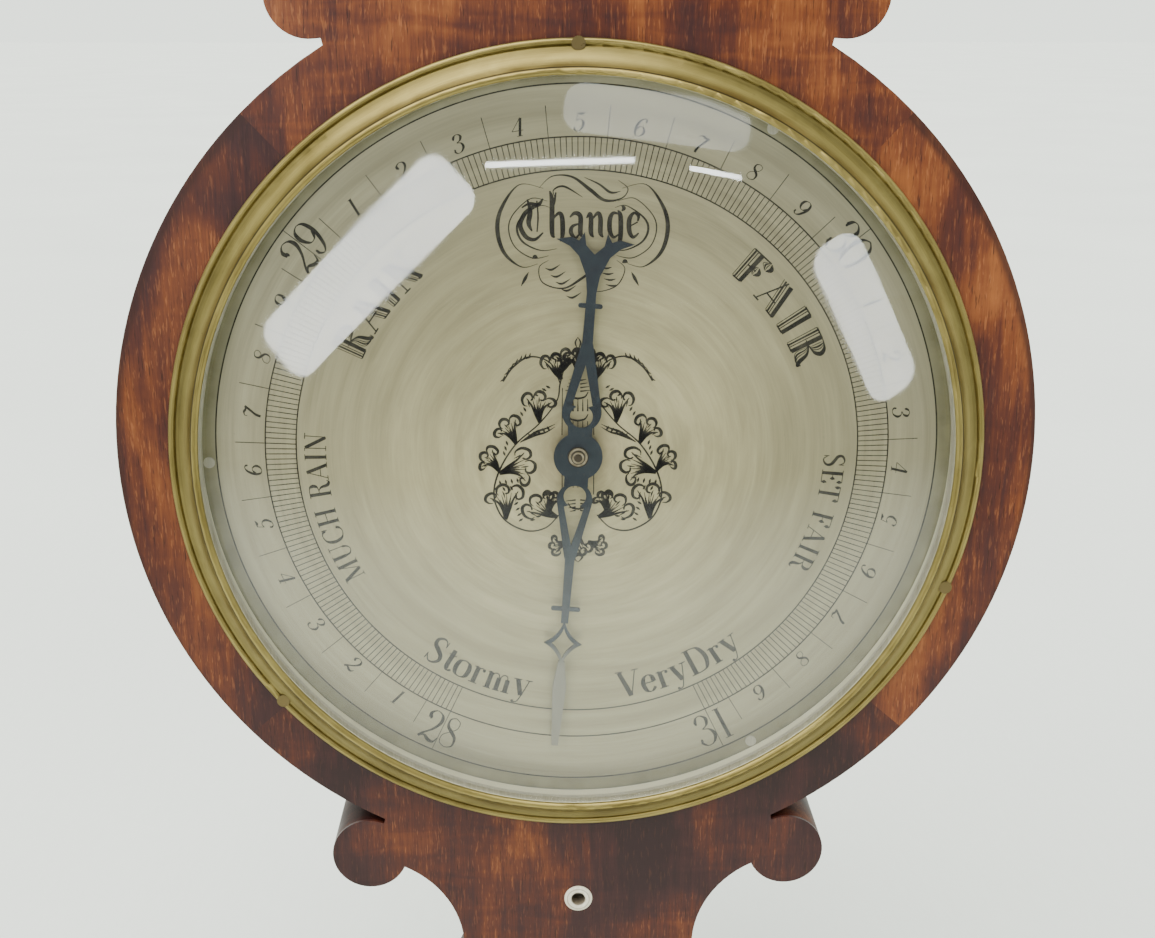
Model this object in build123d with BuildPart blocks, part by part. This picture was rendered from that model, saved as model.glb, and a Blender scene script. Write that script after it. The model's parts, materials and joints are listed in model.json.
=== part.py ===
from build123d import *
import math
import os

os.makedirs("parts", exist_ok=True)

# A ten-inch mahogany wheel barometer that hangs on a wall.
# The wall is the plane y = 0, the front faces -Y, and the origin is the centre of the hanging hole.
# A depth is a distance in front of the wall.  A height is measured from the centre of the dial.

# Case
dial_height = -668.0
case_depth = 48.0
veneer_thickness = 1.2
core_depth = case_depth - veneer_thickness
round_radius = 159.5
round_rise = 2.4
ear_radius = 14.0
top_ear = (86.5, 155.0)
tail_ear = (78.5, -154.5)
shoulder_ear = (70.0, 600.0)
shoulder_radius = 12.0
neck_waist = (43.0, 232.0)
neck_top = (50.0, 560.0)
tail_waist = 43.8
foot_height = -302.0
head_width = 62.0
cornice_height = 640.0
scroll_centre = (30.0, 706.0)
scroll_radius = 13.0
plinth_width = 12.0
plinth_top = 704.0
top_joint_angle = 43.0
tail_joint_angle = 49.0

# Dial, bezel and glass
recess_radius = 134.5
dial_radius = 134.0
dial_thickness = 1.5
dial_face = case_depth - 7.05
dial_back = dial_face - dial_thickness
bezel_radius = 141.6
bezel_sight = 130.2
glass_radius = 131.6
glass_rise = 13.0
glass_thickness = 2.2
glass_edge = 53.4
bezel_screw_radius = 139.8
bezel_screw_angles = (90, 220, 340)
dial_screw_radius = 129.7
dial_screw_angles = (60, 181, 300)

# Back of the case
cavity_radius = 104.0
door_radius = 120.0
door_thickness = 5.0
door_gap = 0.5
hinge_across = -110.4
hinge_depth = 1.6
hinge_gap = 2.2
hinge_heights = (-28.0, 28.0)
knuckle_radius = 1.5
knuckle_length = 7.6
pin_radius = 0.7
button_across = 129.0
button_sweep = 14.0
trough_depth = 27.0
cover_depth = 4.0

# Siphon tube
tube_depth = 20.0
tube_radius = 4.75
bore_radius = 3.25
groove_radius = 7.065
long_limb = -22.0
tube_top = 640.0
short_top = -40.0
bend_height = -240.5
long_mercury = 586.1
short_mercury = -120.0
lowest_mercury = -175.0

# Movement and set drive
rest_angle = 184.5
hand_depth = 44.0
hand_thickness = 0.8
arbor_radius = 1.5
pivot_radius = 0.75
pipe_radius = 3.0
running_gap = 0.05
pillar_across = 36.0
cock_depth = 10.0
cord_depth = 35.3
cord_radius = 0.5
cord_pulley_radius = 8.0
key_height = -174.5
key_bore = 2.6
bush_radius = 5.3
thread_radius = 0.15

# Thermometer and level
thermometer_height = 400.0
thermometer_size = (44.0, 236.0)
level_height = -232.0


def front(depth, height=dial_height, across=0.0):
    """A plane facing forward, at a depth, with its origin at the dial's centre line."""
    return Plane(origin=(across, -depth, height), x_dir=(1, 0, 0), z_dir=(0, -1, 0))


def section(height=dial_height, across=0.0):
    """A plane for turned profiles: x is the radius and y the depth."""
    return Plane(origin=(across, 0, height), x_dir=(1, 0, 0), z_dir=(0, 0, -1))


def turning_axis(height=dial_height, across=0.0):
    """The fore-and-aft axis that a turned profile goes round."""
    return Axis((across, 0, height), (0, -1, 0))


def turned(points, height=dial_height, across=0.0, mode=Mode.ADD):
    """Turn a closed profile of (radius, depth) points about a fore-and-aft axis."""
    with BuildSketch(section(height, across)) as profile:
        Polygon(*points, align=None)
    revolve(profile.sketch, axis=turning_axis(height, across), mode=mode)


def ring_spots(radius, angles):
    """Points on a circle, at angles in degrees from the right."""
    return [(radius * math.cos(math.radians(a)), radius * math.sin(math.radians(a))) for a in angles]


def countersunk(spots, head, shank, length, mode=Mode.ADD):
    """Screws driven forward from the open part's plane: the screw, or the hole that it fills."""
    low = (Align.CENTER, Align.CENTER, Align.MIN)
    with Locations(*spots):
        Cone(head, shank, head - shank, align=low, mode=mode)
        Cylinder(shank, length, align=low, mode=mode)


def from_back(depth, spots, head, shank, length):
    """Cut countersunk holes from a depth towards the front."""
    low = (Align.CENTER, Align.CENTER, Align.MIN)
    for spot in spots:
        with Locations(front(depth) * Location((spot[0], spot[1], 0))):
            Cone(head, shank, head - shank, align=low, mode=Mode.SUBTRACT)
            Cylinder(shank, length, align=low, mode=Mode.SUBTRACT)


def box_cut(across, heights, depths):
    """Cut a block given by its ranges across, up and in depth."""
    with BuildSketch(front(depths[0])) as face:
        with Locations(((across[0] + across[1]) / 2, (heights[0] + heights[1]) / 2)):
            Rectangle(across[1] - across[0], heights[1] - heights[0])
    extrude(face.sketch, amount=depths[1] - depths[0], mode=Mode.SUBTRACT)


def block(across, heights, depths):
    """Add a block given by its ranges across, up and in depth."""
    with BuildSketch(front(depths[0])) as face:
        with Locations(((across[0] + across[1]) / 2, (heights[0] + heights[1]) / 2)):
            Rectangle(across[1] - across[0], heights[1] - heights[0])
    extrude(face.sketch, amount=depths[1] - depths[0])


def draw_half_outline():
    """Draw the right half of the neck, head and tail in the open sketch."""
    with BuildLine() as upper:
        inner = Polyline((0, 60), (80, 130), (84, 147), (74.6, 162.0))
        TangentArc(neck_waist, inner @ 1, tangent=(0, -1))
        rise = Line(neck_waist, neck_top)
        flare = TangentArc(rise @ 1, (61.5, 592.5), tangent=rise % 1)
        Polyline(flare @ 1, (64, 600), (60, 606), (head_width, 616), (head_width, cornice_height))
        crest = TangentArc((scroll_centre[0] + scroll_radius, scroll_centre[1]), (50, 670), tangent=(0, -1))
        TangentArc(crest @ 1, (head_width, cornice_height), tangent=crest % 1)
        Polyline(
            crest @ 0, (30, 700), (plinth_width, 692), (plinth_width, plinth_top), (0, plinth_top), (0, 60)
        )
    make_face(upper.edges())
    with BuildLine() as lower:
        inner = Polyline((0, -60), (70, -130), (74, -147), (66.8, -159.6))
        TangentArc((tail_waist, -195), inner @ 1, tangent=(0, 1))
        Line((tail_waist, -195), (tail_waist, -203))
        flare = TangentArc((tail_waist, -203), (53, -232), tangent=(0, -1))
        hip = TangentArc(flare @ 1, (62, -258), tangent=flare % 1)
        foot = TangentArc(hip @ 1, (26, foot_height), tangent=hip % 1)
        Polyline(foot @ 1, (0, foot_height), (0, -60))
    make_face(lower.edges())
    for centre, radius in ((top_ear, ear_radius), (tail_ear, ear_radius), (shoulder_ear, shoulder_radius)):
        with Locations(centre):
            Circle(radius)
    with Locations(scroll_centre):
        Circle(scroll_radius)


def draw_case_outline():
    """Draw the whole front outline of the case in the open sketch."""
    draw_half_outline()
    mirror(about=Plane.YZ)
    with Locations((0, round_rise)):
        Circle(round_radius)


neck_cover_screws = [(x, z) for x in (-34, 34) for z in (132, 300, 470, 640)]
tail_cover_screws = [(x, z) for x in (-34, 34) for z in (-138, -258)]
hanging_screws = [(-8, -12), (8, -12), (0, 12)]
hinge_screws = [z + shift for z in hinge_heights for shift in (-7, 7)]
case_leaf_screws = [(hinge_across - 9, z) for z in hinge_screws]
door_leaf_screws = [(hinge_across + 9, z) for z in hinge_screws]
cover_screw = (3.0, 1.4, 16.0)
small_screw = (1.9, 0.9, 9.0)
bridge_screw = (1.7, 0.9, 6.0)

# Case

with BuildPart() as case_body:
    with BuildSketch(front(0)):
        draw_case_outline()
    extrude(amount=core_depth)
    with BuildSketch(front(dial_back)):
        Circle(recess_radius)
    extrude(amount=core_depth - dial_back, mode=Mode.SUBTRACT)
    with BuildSketch(front(0)):
        Circle(cavity_radius)
    extrude(amount=dial_back, mode=Mode.SUBTRACT)
    with BuildSketch(front(0)):
        Circle(door_radius + door_gap)
        with Locations((hinge_across - hinge_gap, 0)):
            Rectangle(300, 300, align=(Align.MIN, Align.CENTER), mode=Mode.INTERSECT)
    extrude(amount=door_thickness + 0.2, mode=Mode.SUBTRACT)
    box_cut((-30, -14), (90, 646), (0, trough_depth))
    box_cut((-38.2, 38.2), (124, 650), (0, cover_depth))
    box_cut((-30, 15), (-262, -90), (0, trough_depth))
    box_cut((-38.2, 38.2), (-268, -124), (0, cover_depth))
    box_cut((-10.5, 10.5), (-186, -90), (trough_depth, 37.6))
    box_cut((-12, 12), (652, 684), (0, 2))
    box_cut((-22, 22), (282, 518), (36, core_depth))
    box_cut((-23, 23), (level_height - 4.6, level_height + 4.6), (38, core_depth))
    for height in hinge_heights:
        box_cut((hinge_across - 14, hinge_across - hinge_gap + 1), (height - 12, height + 12), (0, 1.1))
    with BuildSketch(front(0)):
        with Locations((button_across, 0)):
            Circle(button_sweep)
    extrude(amount=2.5, mode=Mode.SUBTRACT)
    with BuildSketch(front(2)):
        with Locations((0, -dial_height)):
            Circle(8)
    extrude(amount=12, mode=Mode.SUBTRACT)
    with BuildSketch(front(37.6)):
        with Locations((0, key_height)):
            Circle(bush_radius)
    extrude(amount=20, mode=Mode.SUBTRACT)
    from_back(0, neck_cover_screws + tail_cover_screws, *cover_screw)
    from_back(0.1, case_leaf_screws, *small_screw)
    from_back(0, [(x, z - dial_height) for x, z in hanging_screws], *small_screw)
    from_back(trough_depth - 1.5, [(x, key_height) for x in (-12.5, 12.5)], *bridge_screw)
    from_back(2.5, [(button_across, 0)], 1.4, 1.3, 11)
    for spot in ring_spots(bezel_screw_radius, bezel_screw_angles):
        with Locations(front(core_depth) * Location((spot[0], spot[1], 0))):
            Cylinder(1, 14.8, align=(Align.CENTER, Align.CENTER, Align.MAX), mode=Mode.SUBTRACT)
    for spot in ring_spots(dial_screw_radius, dial_screw_angles):
        with Locations(front(dial_back) * Location((spot[0], spot[1], 0))):
            Cylinder(0.9, 7, align=(Align.CENTER, Align.CENTER, Align.MAX), mode=Mode.SUBTRACT)
    for spot in [(-26.5, level_height), (26.5, level_height)]:
        with Locations(front(core_depth) * Location((spot[0], spot[1], 0))):
            Cylinder(0.9, 8, align=(Align.CENTER, Align.CENTER, Align.MAX), mode=Mode.SUBTRACT)
case_body.part.label = "case_body"
export_step(case_body.part, "parts/case_body.step")


def wedge(angle, reach, end):
    """The corners of a region above (or below) two joints that leave the dial's centre."""
    side = reach * math.sin(math.radians(angle))
    rise = math.copysign(reach * math.cos(math.radians(angle)), end)
    return [(0, 0), (side, rise), (side, end), (-side, end), (-side, rise)]


def side_corners(side):
    """The corners of the region at one side, between a top joint and a tail joint."""
    reach = 300.0
    top = math.radians(top_joint_angle)
    low = math.radians(tail_joint_angle)
    return [
        (0, 0),
        (side * reach * math.sin(top), reach * math.cos(top)),
        (side * reach * math.sin(low), -reach * math.cos(low)),
    ]


def draw_veneer(corners):
    """Draw the part of the case front that lies inside the corners."""
    draw_case_outline()
    Circle(recess_radius, mode=Mode.SUBTRACT)
    Polygon(*corners, align=None, mode=Mode.INTERSECT)
    with Locations(*ring_spots(bezel_screw_radius, bezel_screw_angles)):
        Circle(1, mode=Mode.SUBTRACT)


with BuildPart() as veneer_neck:
    with BuildSketch(front(core_depth)):
        draw_veneer(wedge(top_joint_angle, 300, 900))
        with Locations((0, thermometer_height)):
            Rectangle(*thermometer_size, mode=Mode.SUBTRACT)
    extrude(amount=veneer_thickness)
veneer_neck.part.label = "veneer_neck"
export_step(veneer_neck.part, "parts/veneer_neck.step")

with BuildPart() as veneer_left:
    with BuildSketch(front(core_depth)):
        draw_veneer(side_corners(-1))
    extrude(amount=veneer_thickness)
veneer_left.part.label = "veneer_left"
export_step(veneer_left.part, "parts/veneer_left.step")

with BuildPart() as veneer_right:
    with BuildSketch(front(core_depth)):
        draw_veneer(side_corners(1))
    extrude(amount=veneer_thickness)
veneer_right.part.label = "veneer_right"
export_step(veneer_right.part, "parts/veneer_right.step")

with BuildPart() as veneer_tail:
    with BuildSketch(front(core_depth)):
        draw_veneer(wedge(tail_joint_angle, 300, -400))
        with Locations((0, key_height)):
            Circle(bush_radius, mode=Mode.SUBTRACT)
        with Locations((0, level_height)):
            Rectangle(46, 9.2, mode=Mode.SUBTRACT)
        with Locations((-26.5, level_height), (26.5, level_height)):
            Circle(0.9, mode=Mode.SUBTRACT)
    extrude(amount=veneer_thickness)
veneer_tail.part.label = "veneer_tail"
export_step(veneer_tail.part, "parts/veneer_tail.step")

with BuildPart() as cornice:
    with BuildSketch(Plane.YZ.offset(-head_width - 4)):
        with BuildLine():
            corner = Polyline((-case_depth, dial_height + 626), (-case_depth - 3, dial_height + 626))
            curve = TangentArc(corner @ 1, (-case_depth - 8, dial_height + 634), tangent=(0, 1))
            Polyline(curve @ 1, (-case_depth - 8, dial_height + 640), (-case_depth, dial_height + 640))
            Line((-case_depth, dial_height + 640), (-case_depth, dial_height + 626))
        make_face()
    extrude(amount=2 * head_width + 8)
cornice.part.label = "cornice"
export_step(cornice.part, "parts/cornice.step")

with BuildPart() as swan_necks:
    with BuildSketch(front(case_depth)):
        with BuildLine():
            crest = TangentArc((43, 706), (50, 670), tangent=(0, -1))
            ramp = TangentArc(crest @ 1, (head_width, cornice_height), tangent=crest % 1)
            base = Line(ramp @ 1, (50, cornice_height))
            under = TangentArc(base @ 1, (41, 664), tangent=(-0.2, 1))
            Polyline(under @ 1, (33, 690), (36, 706), (43, 706))
        make_face()
        with Locations(scroll_centre):
            Circle(scroll_radius)
        mirror(about=Plane.YZ)
    extrude(amount=5)
    chamfer(swan_necks.faces().sort_by(Axis.Y)[:2].edges(), length=1)
swan_necks.part.label = "swan_necks"
export_step(swan_necks.part, "parts/swan_necks.step")

with BuildPart() as rosettes:
    for side in (-1, 1):
        turned(
            [(0, 53), (8.5, 53), (8.5, 54), (7, 55.2), (5.5, 54.6), (4, 54.8), (3, 56.4), (0, 57)],
            dial_height + scroll_centre[1],
            side * scroll_centre[0],
        )
rosettes.part.label = "rosettes"
export_step(rosettes.part, "parts/rosettes.step")

finial_foot = dial_height + plinth_top
finial_profile = [
    (0, 0), (8, 0), (8, 2), (5, 4), (3.4, 7), (4.5, 9), (8, 13), (9.5, 18), (9.0, 23),
    (6, 27), (3, 29), (4.6, 31), (4.2, 33), (2.4, 36), (1.4, 42), (1.6, 45), (0, 48),
]
with BuildPart() as finial:
    with BuildSketch(Plane(origin=(0, -case_depth / 2, finial_foot), x_dir=(1, 0, 0), z_dir=(0, -1, 0))):
        Polygon(*finial_profile, align=None)
    revolve(axis=Axis((0, -case_depth / 2, finial_foot), (0, 0, 1)))
finial.part.label = "finial"
export_step(finial.part, "parts/finial.step")

# Dial, bezel and glass

with BuildPart() as bezel_ring:
    with BuildSketch(section()):
        with BuildLine():
            edge = Line((bezel_radius, case_depth), (bezel_radius, case_depth + 1.2))
            bead = TangentArc(edge @ 1, (139.2, case_depth + 1.6), tangent=(0, 1))
            groove = Line(bead @ 1, (138.8, case_depth + 2.0))
            cove = ThreePointArc(groove @ 1, (134.8, case_depth + 4.4), (132.6, case_depth + 7.6))
            lip = ThreePointArc(cove @ 1, (131.3, case_depth + 8.2), (bezel_sight, case_depth + 7.4))
            Polyline(
                lip @ 1, (bezel_sight, 53.9), (131.9, 53.9), (131.9, 41.5), (134.3, 41.5),
                (134.3, case_depth), (bezel_radius, case_depth),
            )
        make_face()
    revolve(axis=turning_axis())
    for spot in ring_spots(bezel_screw_radius, bezel_screw_angles):
        with Locations(front(case_depth) * Location((spot[0], spot[1], 0))):
            Cylinder(1, 2.4, align=(Align.CENTER, Align.CENTER, Align.MIN), mode=Mode.SUBTRACT)
        with Locations(front(case_depth + 1.8) * Location((spot[0], spot[1], 0))):
            Cylinder(2.3, 6, align=(Align.CENTER, Align.CENTER, Align.MIN), mode=Mode.SUBTRACT)
bezel_ring.part.label = "bezel_ring"
export_step(bezel_ring.part, "parts/bezel_ring.step")

dome_radius = (glass_radius**2 + glass_rise**2) / (2 * glass_rise)


def dome_depth(radius, edge):
    """The depth of a spherical cap, at a radius, whose edge stands at a depth."""
    return edge + glass_rise - dome_radius + math.sqrt(dome_radius**2 - radius**2)


with BuildPart() as dial_glass:
    with BuildSketch(section()):
        with BuildLine():
            inner_edge = glass_edge - glass_thickness
            half = glass_radius / 2
            outside = ThreePointArc(
                (0, dome_depth(0, glass_edge)),
                (half, dome_depth(half, glass_edge)),
                (glass_radius, glass_edge),
            )
            rim = Line(outside @ 1, (glass_radius, inner_edge))
            inside = ThreePointArc(rim @ 1, (half, dome_depth(half, inner_edge)), (0, dome_depth(0, inner_edge)))
            Line(inside @ 1, outside @ 0)
        make_face()
    revolve(axis=turning_axis())
dial_glass.part.label = "dial_glass"
export_step(dial_glass.part, "parts/dial_glass.step")

with BuildPart() as glass_retaining_ring:
    turned([(130.0, 49.0), (131.85, 49.0), (131.85, 51.15), (130.0, 51.15)])
glass_retaining_ring.part.label = "glass_retaining_ring"
export_step(glass_retaining_ring.part, "parts/glass_retaining_ring.step")

with BuildPart() as bezel_screws:
    for spot in ring_spots(bezel_screw_radius, bezel_screw_angles):
        with Locations(front(case_depth) * Location((spot[0], spot[1], 0))):
            Cylinder(1, 16, align=(Align.CENTER, Align.CENTER, Align.MAX))
            Cylinder(1, 1.8, align=(Align.CENTER, Align.CENTER, Align.MIN))
        with Locations(front(case_depth + 1.8) * Location((spot[0], spot[1], 0))):
            Cylinder(2.3, 0.7, align=(Align.CENTER, Align.CENTER, Align.MIN))
            Cone(2.3, 1.4, 0.7, align=(Align.CENTER, Align.CENTER, Align.MIN))
bezel_screws.part.label = "bezel_screws"
export_step(bezel_screws.part, "parts/bezel_screws.step")

with BuildPart() as dial_plate:
    with BuildSketch(front(dial_back)):
        Circle(dial_radius)
        Circle(5, mode=Mode.SUBTRACT)
        with Locations(*ring_spots(dial_screw_radius, dial_screw_angles)):
            Circle(0.9, mode=Mode.SUBTRACT)
    extrude(amount=dial_thickness)
dial_plate.part.label = "dial_plate"
export_step(dial_plate.part, "parts/dial_plate.step")

with BuildPart() as dial_screws:
    for spot in ring_spots(dial_screw_radius, dial_screw_angles):
        with Locations(front(dial_face) * Location((spot[0], spot[1], 0))):
            Cylinder(0.9, 8, align=(Align.CENTER, Align.CENTER, Align.MAX))
            Cylinder(2, 0.5, align=(Align.CENTER, Align.CENTER, Align.MIN))
dial_screws.part.label = "dial_screws"
export_step(dial_screws.part, "parts/dial_screws.step")

with BuildPart() as bone_key_bush:
    turned(
        [
            (2.05, 37.6), (bush_radius, 37.6), (bush_radius, 48.3), (4.4, 48.8), (3.2, 48.9), (key_bore, 48.6),
            (key_bore, 43.6), (2.8, 43.6), (2.8, 40.4), (2.05, 40.4),
        ],
        dial_height + key_height,
    )
bone_key_bush.part.label = "bone_key_bush"
export_step(bone_key_bush.part, "parts/bone_key_bush.step")

# Movement

with BuildPart() as dial_bush:
    turned([
        (pipe_radius + running_gap, 37.6), (7, 37.6), (7, dial_back), (5, dial_back), (5, 41.4),
        (pipe_radius + running_gap, 41.4),
    ])
dial_bush.part.label = "dial_bush"
export_step(dial_bush.part, "parts/dial_bush.step")

with BuildPart() as set_pipe:
    turned([
        (arbor_radius + running_gap, 33.0), (pipe_radius, 33.0), (pipe_radius, 42.6),
        (arbor_radius + running_gap, 42.6),
    ])
set_pipe.part.label = "set_pipe"
export_step(set_pipe.part, "parts/set_pipe.step")


def cord_pulley(inner, height):
    """A grooved pulley for the set cord, on a shaft."""
    groove = cord_pulley_radius - cord_radius - 0.3
    rim = cord_pulley_radius + 1.0
    low = cord_depth - 1.7
    high = cord_depth + 1.7
    turned(
        [
            (inner, low), (rim, low), (rim, cord_depth - 1.1), (groove, cord_depth - 0.9),
            (groove, cord_depth + 0.9), (rim, cord_depth + 1.1), (rim, high), (inner, high),
        ],
        height,
    )


with BuildPart() as set_pulley:
    cord_pulley(pipe_radius, dial_height)
set_pulley.part.label = "set_pulley"
export_step(set_pulley.part, "parts/set_pulley.step")

with BuildPart() as key_pulley:
    cord_pulley(2.0, dial_height + key_height)
key_pulley.part.label = "key_pulley"
export_step(key_pulley.part, "parts/key_pulley.step")

with BuildPart() as set_cord:
    with BuildLine(front(cord_depth)):
        Line((cord_pulley_radius, 0), (cord_pulley_radius, key_height))
        CenterArc((0, key_height), cord_pulley_radius, 0, -180)
        Line((-cord_pulley_radius, key_height), (-cord_pulley_radius, 0))
        CenterArc((0, 0), cord_pulley_radius, 180, -180)
    with BuildSketch(Plane(origin=(cord_pulley_radius, -cord_depth, dial_height), z_dir=(0, 0, -1))):
        Circle(cord_radius)
    sweep()
set_cord.part.label = "set_cord"
export_step(set_cord.part, "parts/set_cord.step")

with BuildPart() as key_arbor:
    with BuildSketch(front(25.6, dial_height + key_height)):
        Circle(2.0)
    extrude(amount=15.4)
    with BuildSketch(front(41.0, dial_height + key_height)):
        Rectangle(2.6, 2.6)
    extrude(amount=2.4)
key_arbor.part.label = "key_arbor"
export_step(key_arbor.part, "parts/key_arbor.step")

with BuildPart() as key_bridge:
    with BuildSketch(front(trough_depth - 1.5, dial_height + key_height)):
        Rectangle(30, 9)
        Circle(2.0 + running_gap, mode=Mode.SUBTRACT)
    extrude(amount=1.5)
    from_back(trough_depth - 1.5, [(x, key_height) for x in (-12.5, 12.5)], *bridge_screw)
key_bridge.part.label = "key_bridge"
export_step(key_bridge.part, "parts/key_bridge.step")

with BuildPart(front(trough_depth - 1.5)) as key_bridge_screws:
    countersunk([(x, key_height) for x in (-12.5, 12.5)], *bridge_screw)
key_bridge_screws.part.label = "key_bridge_screws"
export_step(key_bridge_screws.part, "parts/key_bridge_screws.step")

with BuildPart() as pointer_arbor:
    turned([
        (0, 10.2), (pivot_radius, 10.2), (pivot_radius, 13.2), (arbor_radius, 13.2), (arbor_radius, 43.6),
        (1.2, 43.6), (1.2, 46.6), (0, 46.6),
    ])
pointer_arbor.part.label = "pointer_arbor"
export_step(pointer_arbor.part, "parts/pointer_arbor.step")

with BuildPart() as pointer_collet:
    turned([
        (1.2, 43.7), (4.6, 43.7), (4.6, hand_depth), (2.4, hand_depth), (2.4, hand_depth + hand_thickness),
        (3.7, hand_depth + hand_thickness), (3.7, 45.3), (2.4, 45.3), (2.4, 46.2), (1.2, 46.2),
    ])
pointer_collet.part.label = "pointer_collet"
export_step(pointer_collet.part, "parts/pointer_collet.step")

blade_outline = [(-1.1, 78), (1.1, 78), (2.6, 88), (1.2, 112), (-1.2, 112), (-2.6, 88)]
fork_outline = [
    (1.6, -58), (2.4, -64), (5.3, -70.5), (8.6, -73.6), (13.2, -75.6), (8.2, -76.6), (5.6, -75.6),
    (3.9, -78.6), (3.1, -74.2), (0, -71.2),
]

turn = math.radians(rest_angle)
hand_plane = Plane(
    origin=(0, -hand_depth, dial_height), x_dir=(math.cos(turn), 0, -math.sin(turn)), z_dir=(0, -1, 0)
)

with BuildPart() as pointer_hand:
    with BuildSketch(hand_plane):
        Circle(8.6)
        Rectangle(8.4, 22)
        for centre, radius, neck in ((16, 6.3, 38), (-16.2, 6.9, -40.5)):
            with Locations((0, centre)):
                Circle(radius)
            shoulder = radius * 0.97
            Polygon((-shoulder, centre * 1.1), (shoulder, centre * 1.1), (2, neck), (-2, neck), align=None)
        Polygon((-1.8, 34), (1.8, 34), (1.3, 63), (-1.3, 63), align=None)
        Polygon((-1.9, -36), (1.9, -36), (1.6, -60), (-1.6, -60), align=None)
        with Locations((0, 57.4)):
            SlotOverall(10.6, 1.6)
        with Locations((0, -53.7)):
            SlotOverall(8.4, 1.6)
        Polygon(*blade_outline, align=None)
        Polygon(*fork_outline, *[(-x, y) for x, y in reversed(fork_outline)], align=None)
        with BuildLine():
            upper = ThreePointArc((0, 61), (2.4, 67.2), (6.9, 71))
            lower = ThreePointArc((6.9, 71), (2.4, 74.8), (0, 81))
            mirror(about=Plane.YZ)
        make_face()
        with BuildLine():
            ThreePointArc((0, 65), (1.5, 68.2), (4.2, 71))
            ThreePointArc((4.2, 71), (1.5, 73.8), (0, 77))
            mirror(about=Plane.YZ)
        make_face(mode=Mode.SUBTRACT)
        with Locations((0, 14.6), (0, -14.6)):
            Circle(4.0, mode=Mode.SUBTRACT)
        for way in (-1, 1):
            eye = ((-3.6, way * 18.6), (0, way * 17.2), (3.6, way * 18.6), (0, way * 33))
            Polygon(*eye, align=None, mode=Mode.SUBTRACT)
        Circle(2.4, mode=Mode.SUBTRACT)
    extrude(amount=hand_thickness)
pointer_hand.part.label = "pointer_hand"
export_step(pointer_hand.part, "parts/pointer_hand.step")

groove_floor = groove_radius - thread_radius - 0.1
with BuildPart() as float_pulley:
    turned([
        (arbor_radius, 17.0), (9.0, 17.0), (9.0, 18.2), (groove_floor, 19.4), (groove_floor, 20.6),
        (9.0, 21.8), (9.0, 23.0), (arbor_radius, 23.0),
    ])
float_pulley.part.label = "float_pulley"
export_step(float_pulley.part, "parts/float_pulley.step")

with BuildPart() as float_weight:
    with Locations((groove_radius, -tube_depth, dial_height + short_mercury + 0.3)):
        Cylinder(2.6, 14, align=(Align.CENTER, Align.CENTER, Align.MIN))
    with Locations((groove_radius, -tube_depth, dial_height + short_mercury + 14.3)):
        Cone(2.6, 0.8, 3, align=(Align.CENTER, Align.CENTER, Align.MIN))
float_weight.part.label = "float_weight"
export_step(float_weight.part, "parts/float_weight.step")

with BuildPart() as float_thread:
    with Locations((groove_radius, -tube_depth, dial_height + short_mercury + 17.3)):
        Cylinder(thread_radius, -short_mercury - 17.3, align=(Align.CENTER, Align.CENTER, Align.MIN))
float_thread.part.label = "float_thread"
export_step(float_thread.part, "parts/float_thread.step")

with BuildPart() as counterweight:
    with Locations((-groove_radius, -tube_depth, dial_height - 78)):
        Cylinder(2.5, 12, align=(Align.CENTER, Align.CENTER, Align.MIN))
    with Locations((-groove_radius, -tube_depth, dial_height - 66)):
        Cone(2.5, 0.8, 2, align=(Align.CENTER, Align.CENTER, Align.MIN))
counterweight.part.label = "counterweight"
export_step(counterweight.part, "parts/counterweight.step")

with BuildPart() as counter_thread:
    with Locations((-groove_radius, -tube_depth, dial_height - 64)):
        Cylinder(thread_radius, 64, align=(Align.CENTER, Align.CENTER, Align.MIN))
counter_thread.part.label = "counter_thread"
export_step(counter_thread.part, "parts/counter_thread.step")

with BuildPart() as cock_pillars:
    for across in (-pillar_across, pillar_across):
        turned(
            [(0.9, 12), (3, 12), (3, 14), (2.2, 16), (2.2, 34), (3.6, 36), (3.6, dial_back), (0, dial_back),
             (0, 18), (0.9, 18)],
            dial_height,
            across,
        )
cock_pillars.part.label = "cock_pillars"
export_step(cock_pillars.part, "parts/cock_pillars.step")

with BuildPart() as back_cock:
    with BuildSketch(front(cock_depth)):
        SlotOverall(2 * pillar_across + 10, 10)
        Circle(9)
        Circle(pivot_radius + running_gap, mode=Mode.SUBTRACT)
        with Locations((-pillar_across, 0), (pillar_across, 0)):
            Circle(0.9, mode=Mode.SUBTRACT)
    extrude(amount=2)
back_cock.part.label = "back_cock"
export_step(back_cock.part, "parts/back_cock.step")

with BuildPart(front(cock_depth)) as cock_screws:
    with Locations((-pillar_across, 0), (pillar_across, 0)):
        Cylinder(0.9, 8, align=(Align.CENTER, Align.CENTER, Align.MIN))
        Cylinder(2, 1.4, align=(Align.CENTER, Align.CENTER, Align.MAX))
cock_screws.part.label = "cock_screws"
export_step(cock_screws.part, "parts/cock_screws.step")

# Siphon tube


def limb(radius, across, bottom, top):
    """A round bar in the plane of the siphon."""
    with Locations((across, -tube_depth, dial_height + bottom)):
        Cylinder(radius, top - bottom, align=(Align.CENTER, Align.CENTER, Align.MIN))


def bend(radius):
    """The half ring that joins the two limbs at the bottom."""
    with BuildSketch(Plane.XY.offset(dial_height + bend_height)) as ring:
        with Locations((groove_radius, -tube_depth)):
            Circle(radius)
    middle = (groove_radius + long_limb) / 2
    revolve(
        ring.sketch,
        axis=Axis((middle, -tube_depth, dial_height + bend_height), (0, 1, 0)),
        revolution_arc=180,
    )


with BuildPart() as bore:
    bend(bore_radius)
    limb(bore_radius, groove_radius, bend_height, short_top)
    limb(bore_radius, long_limb, bend_height, tube_top - 7)

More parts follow.
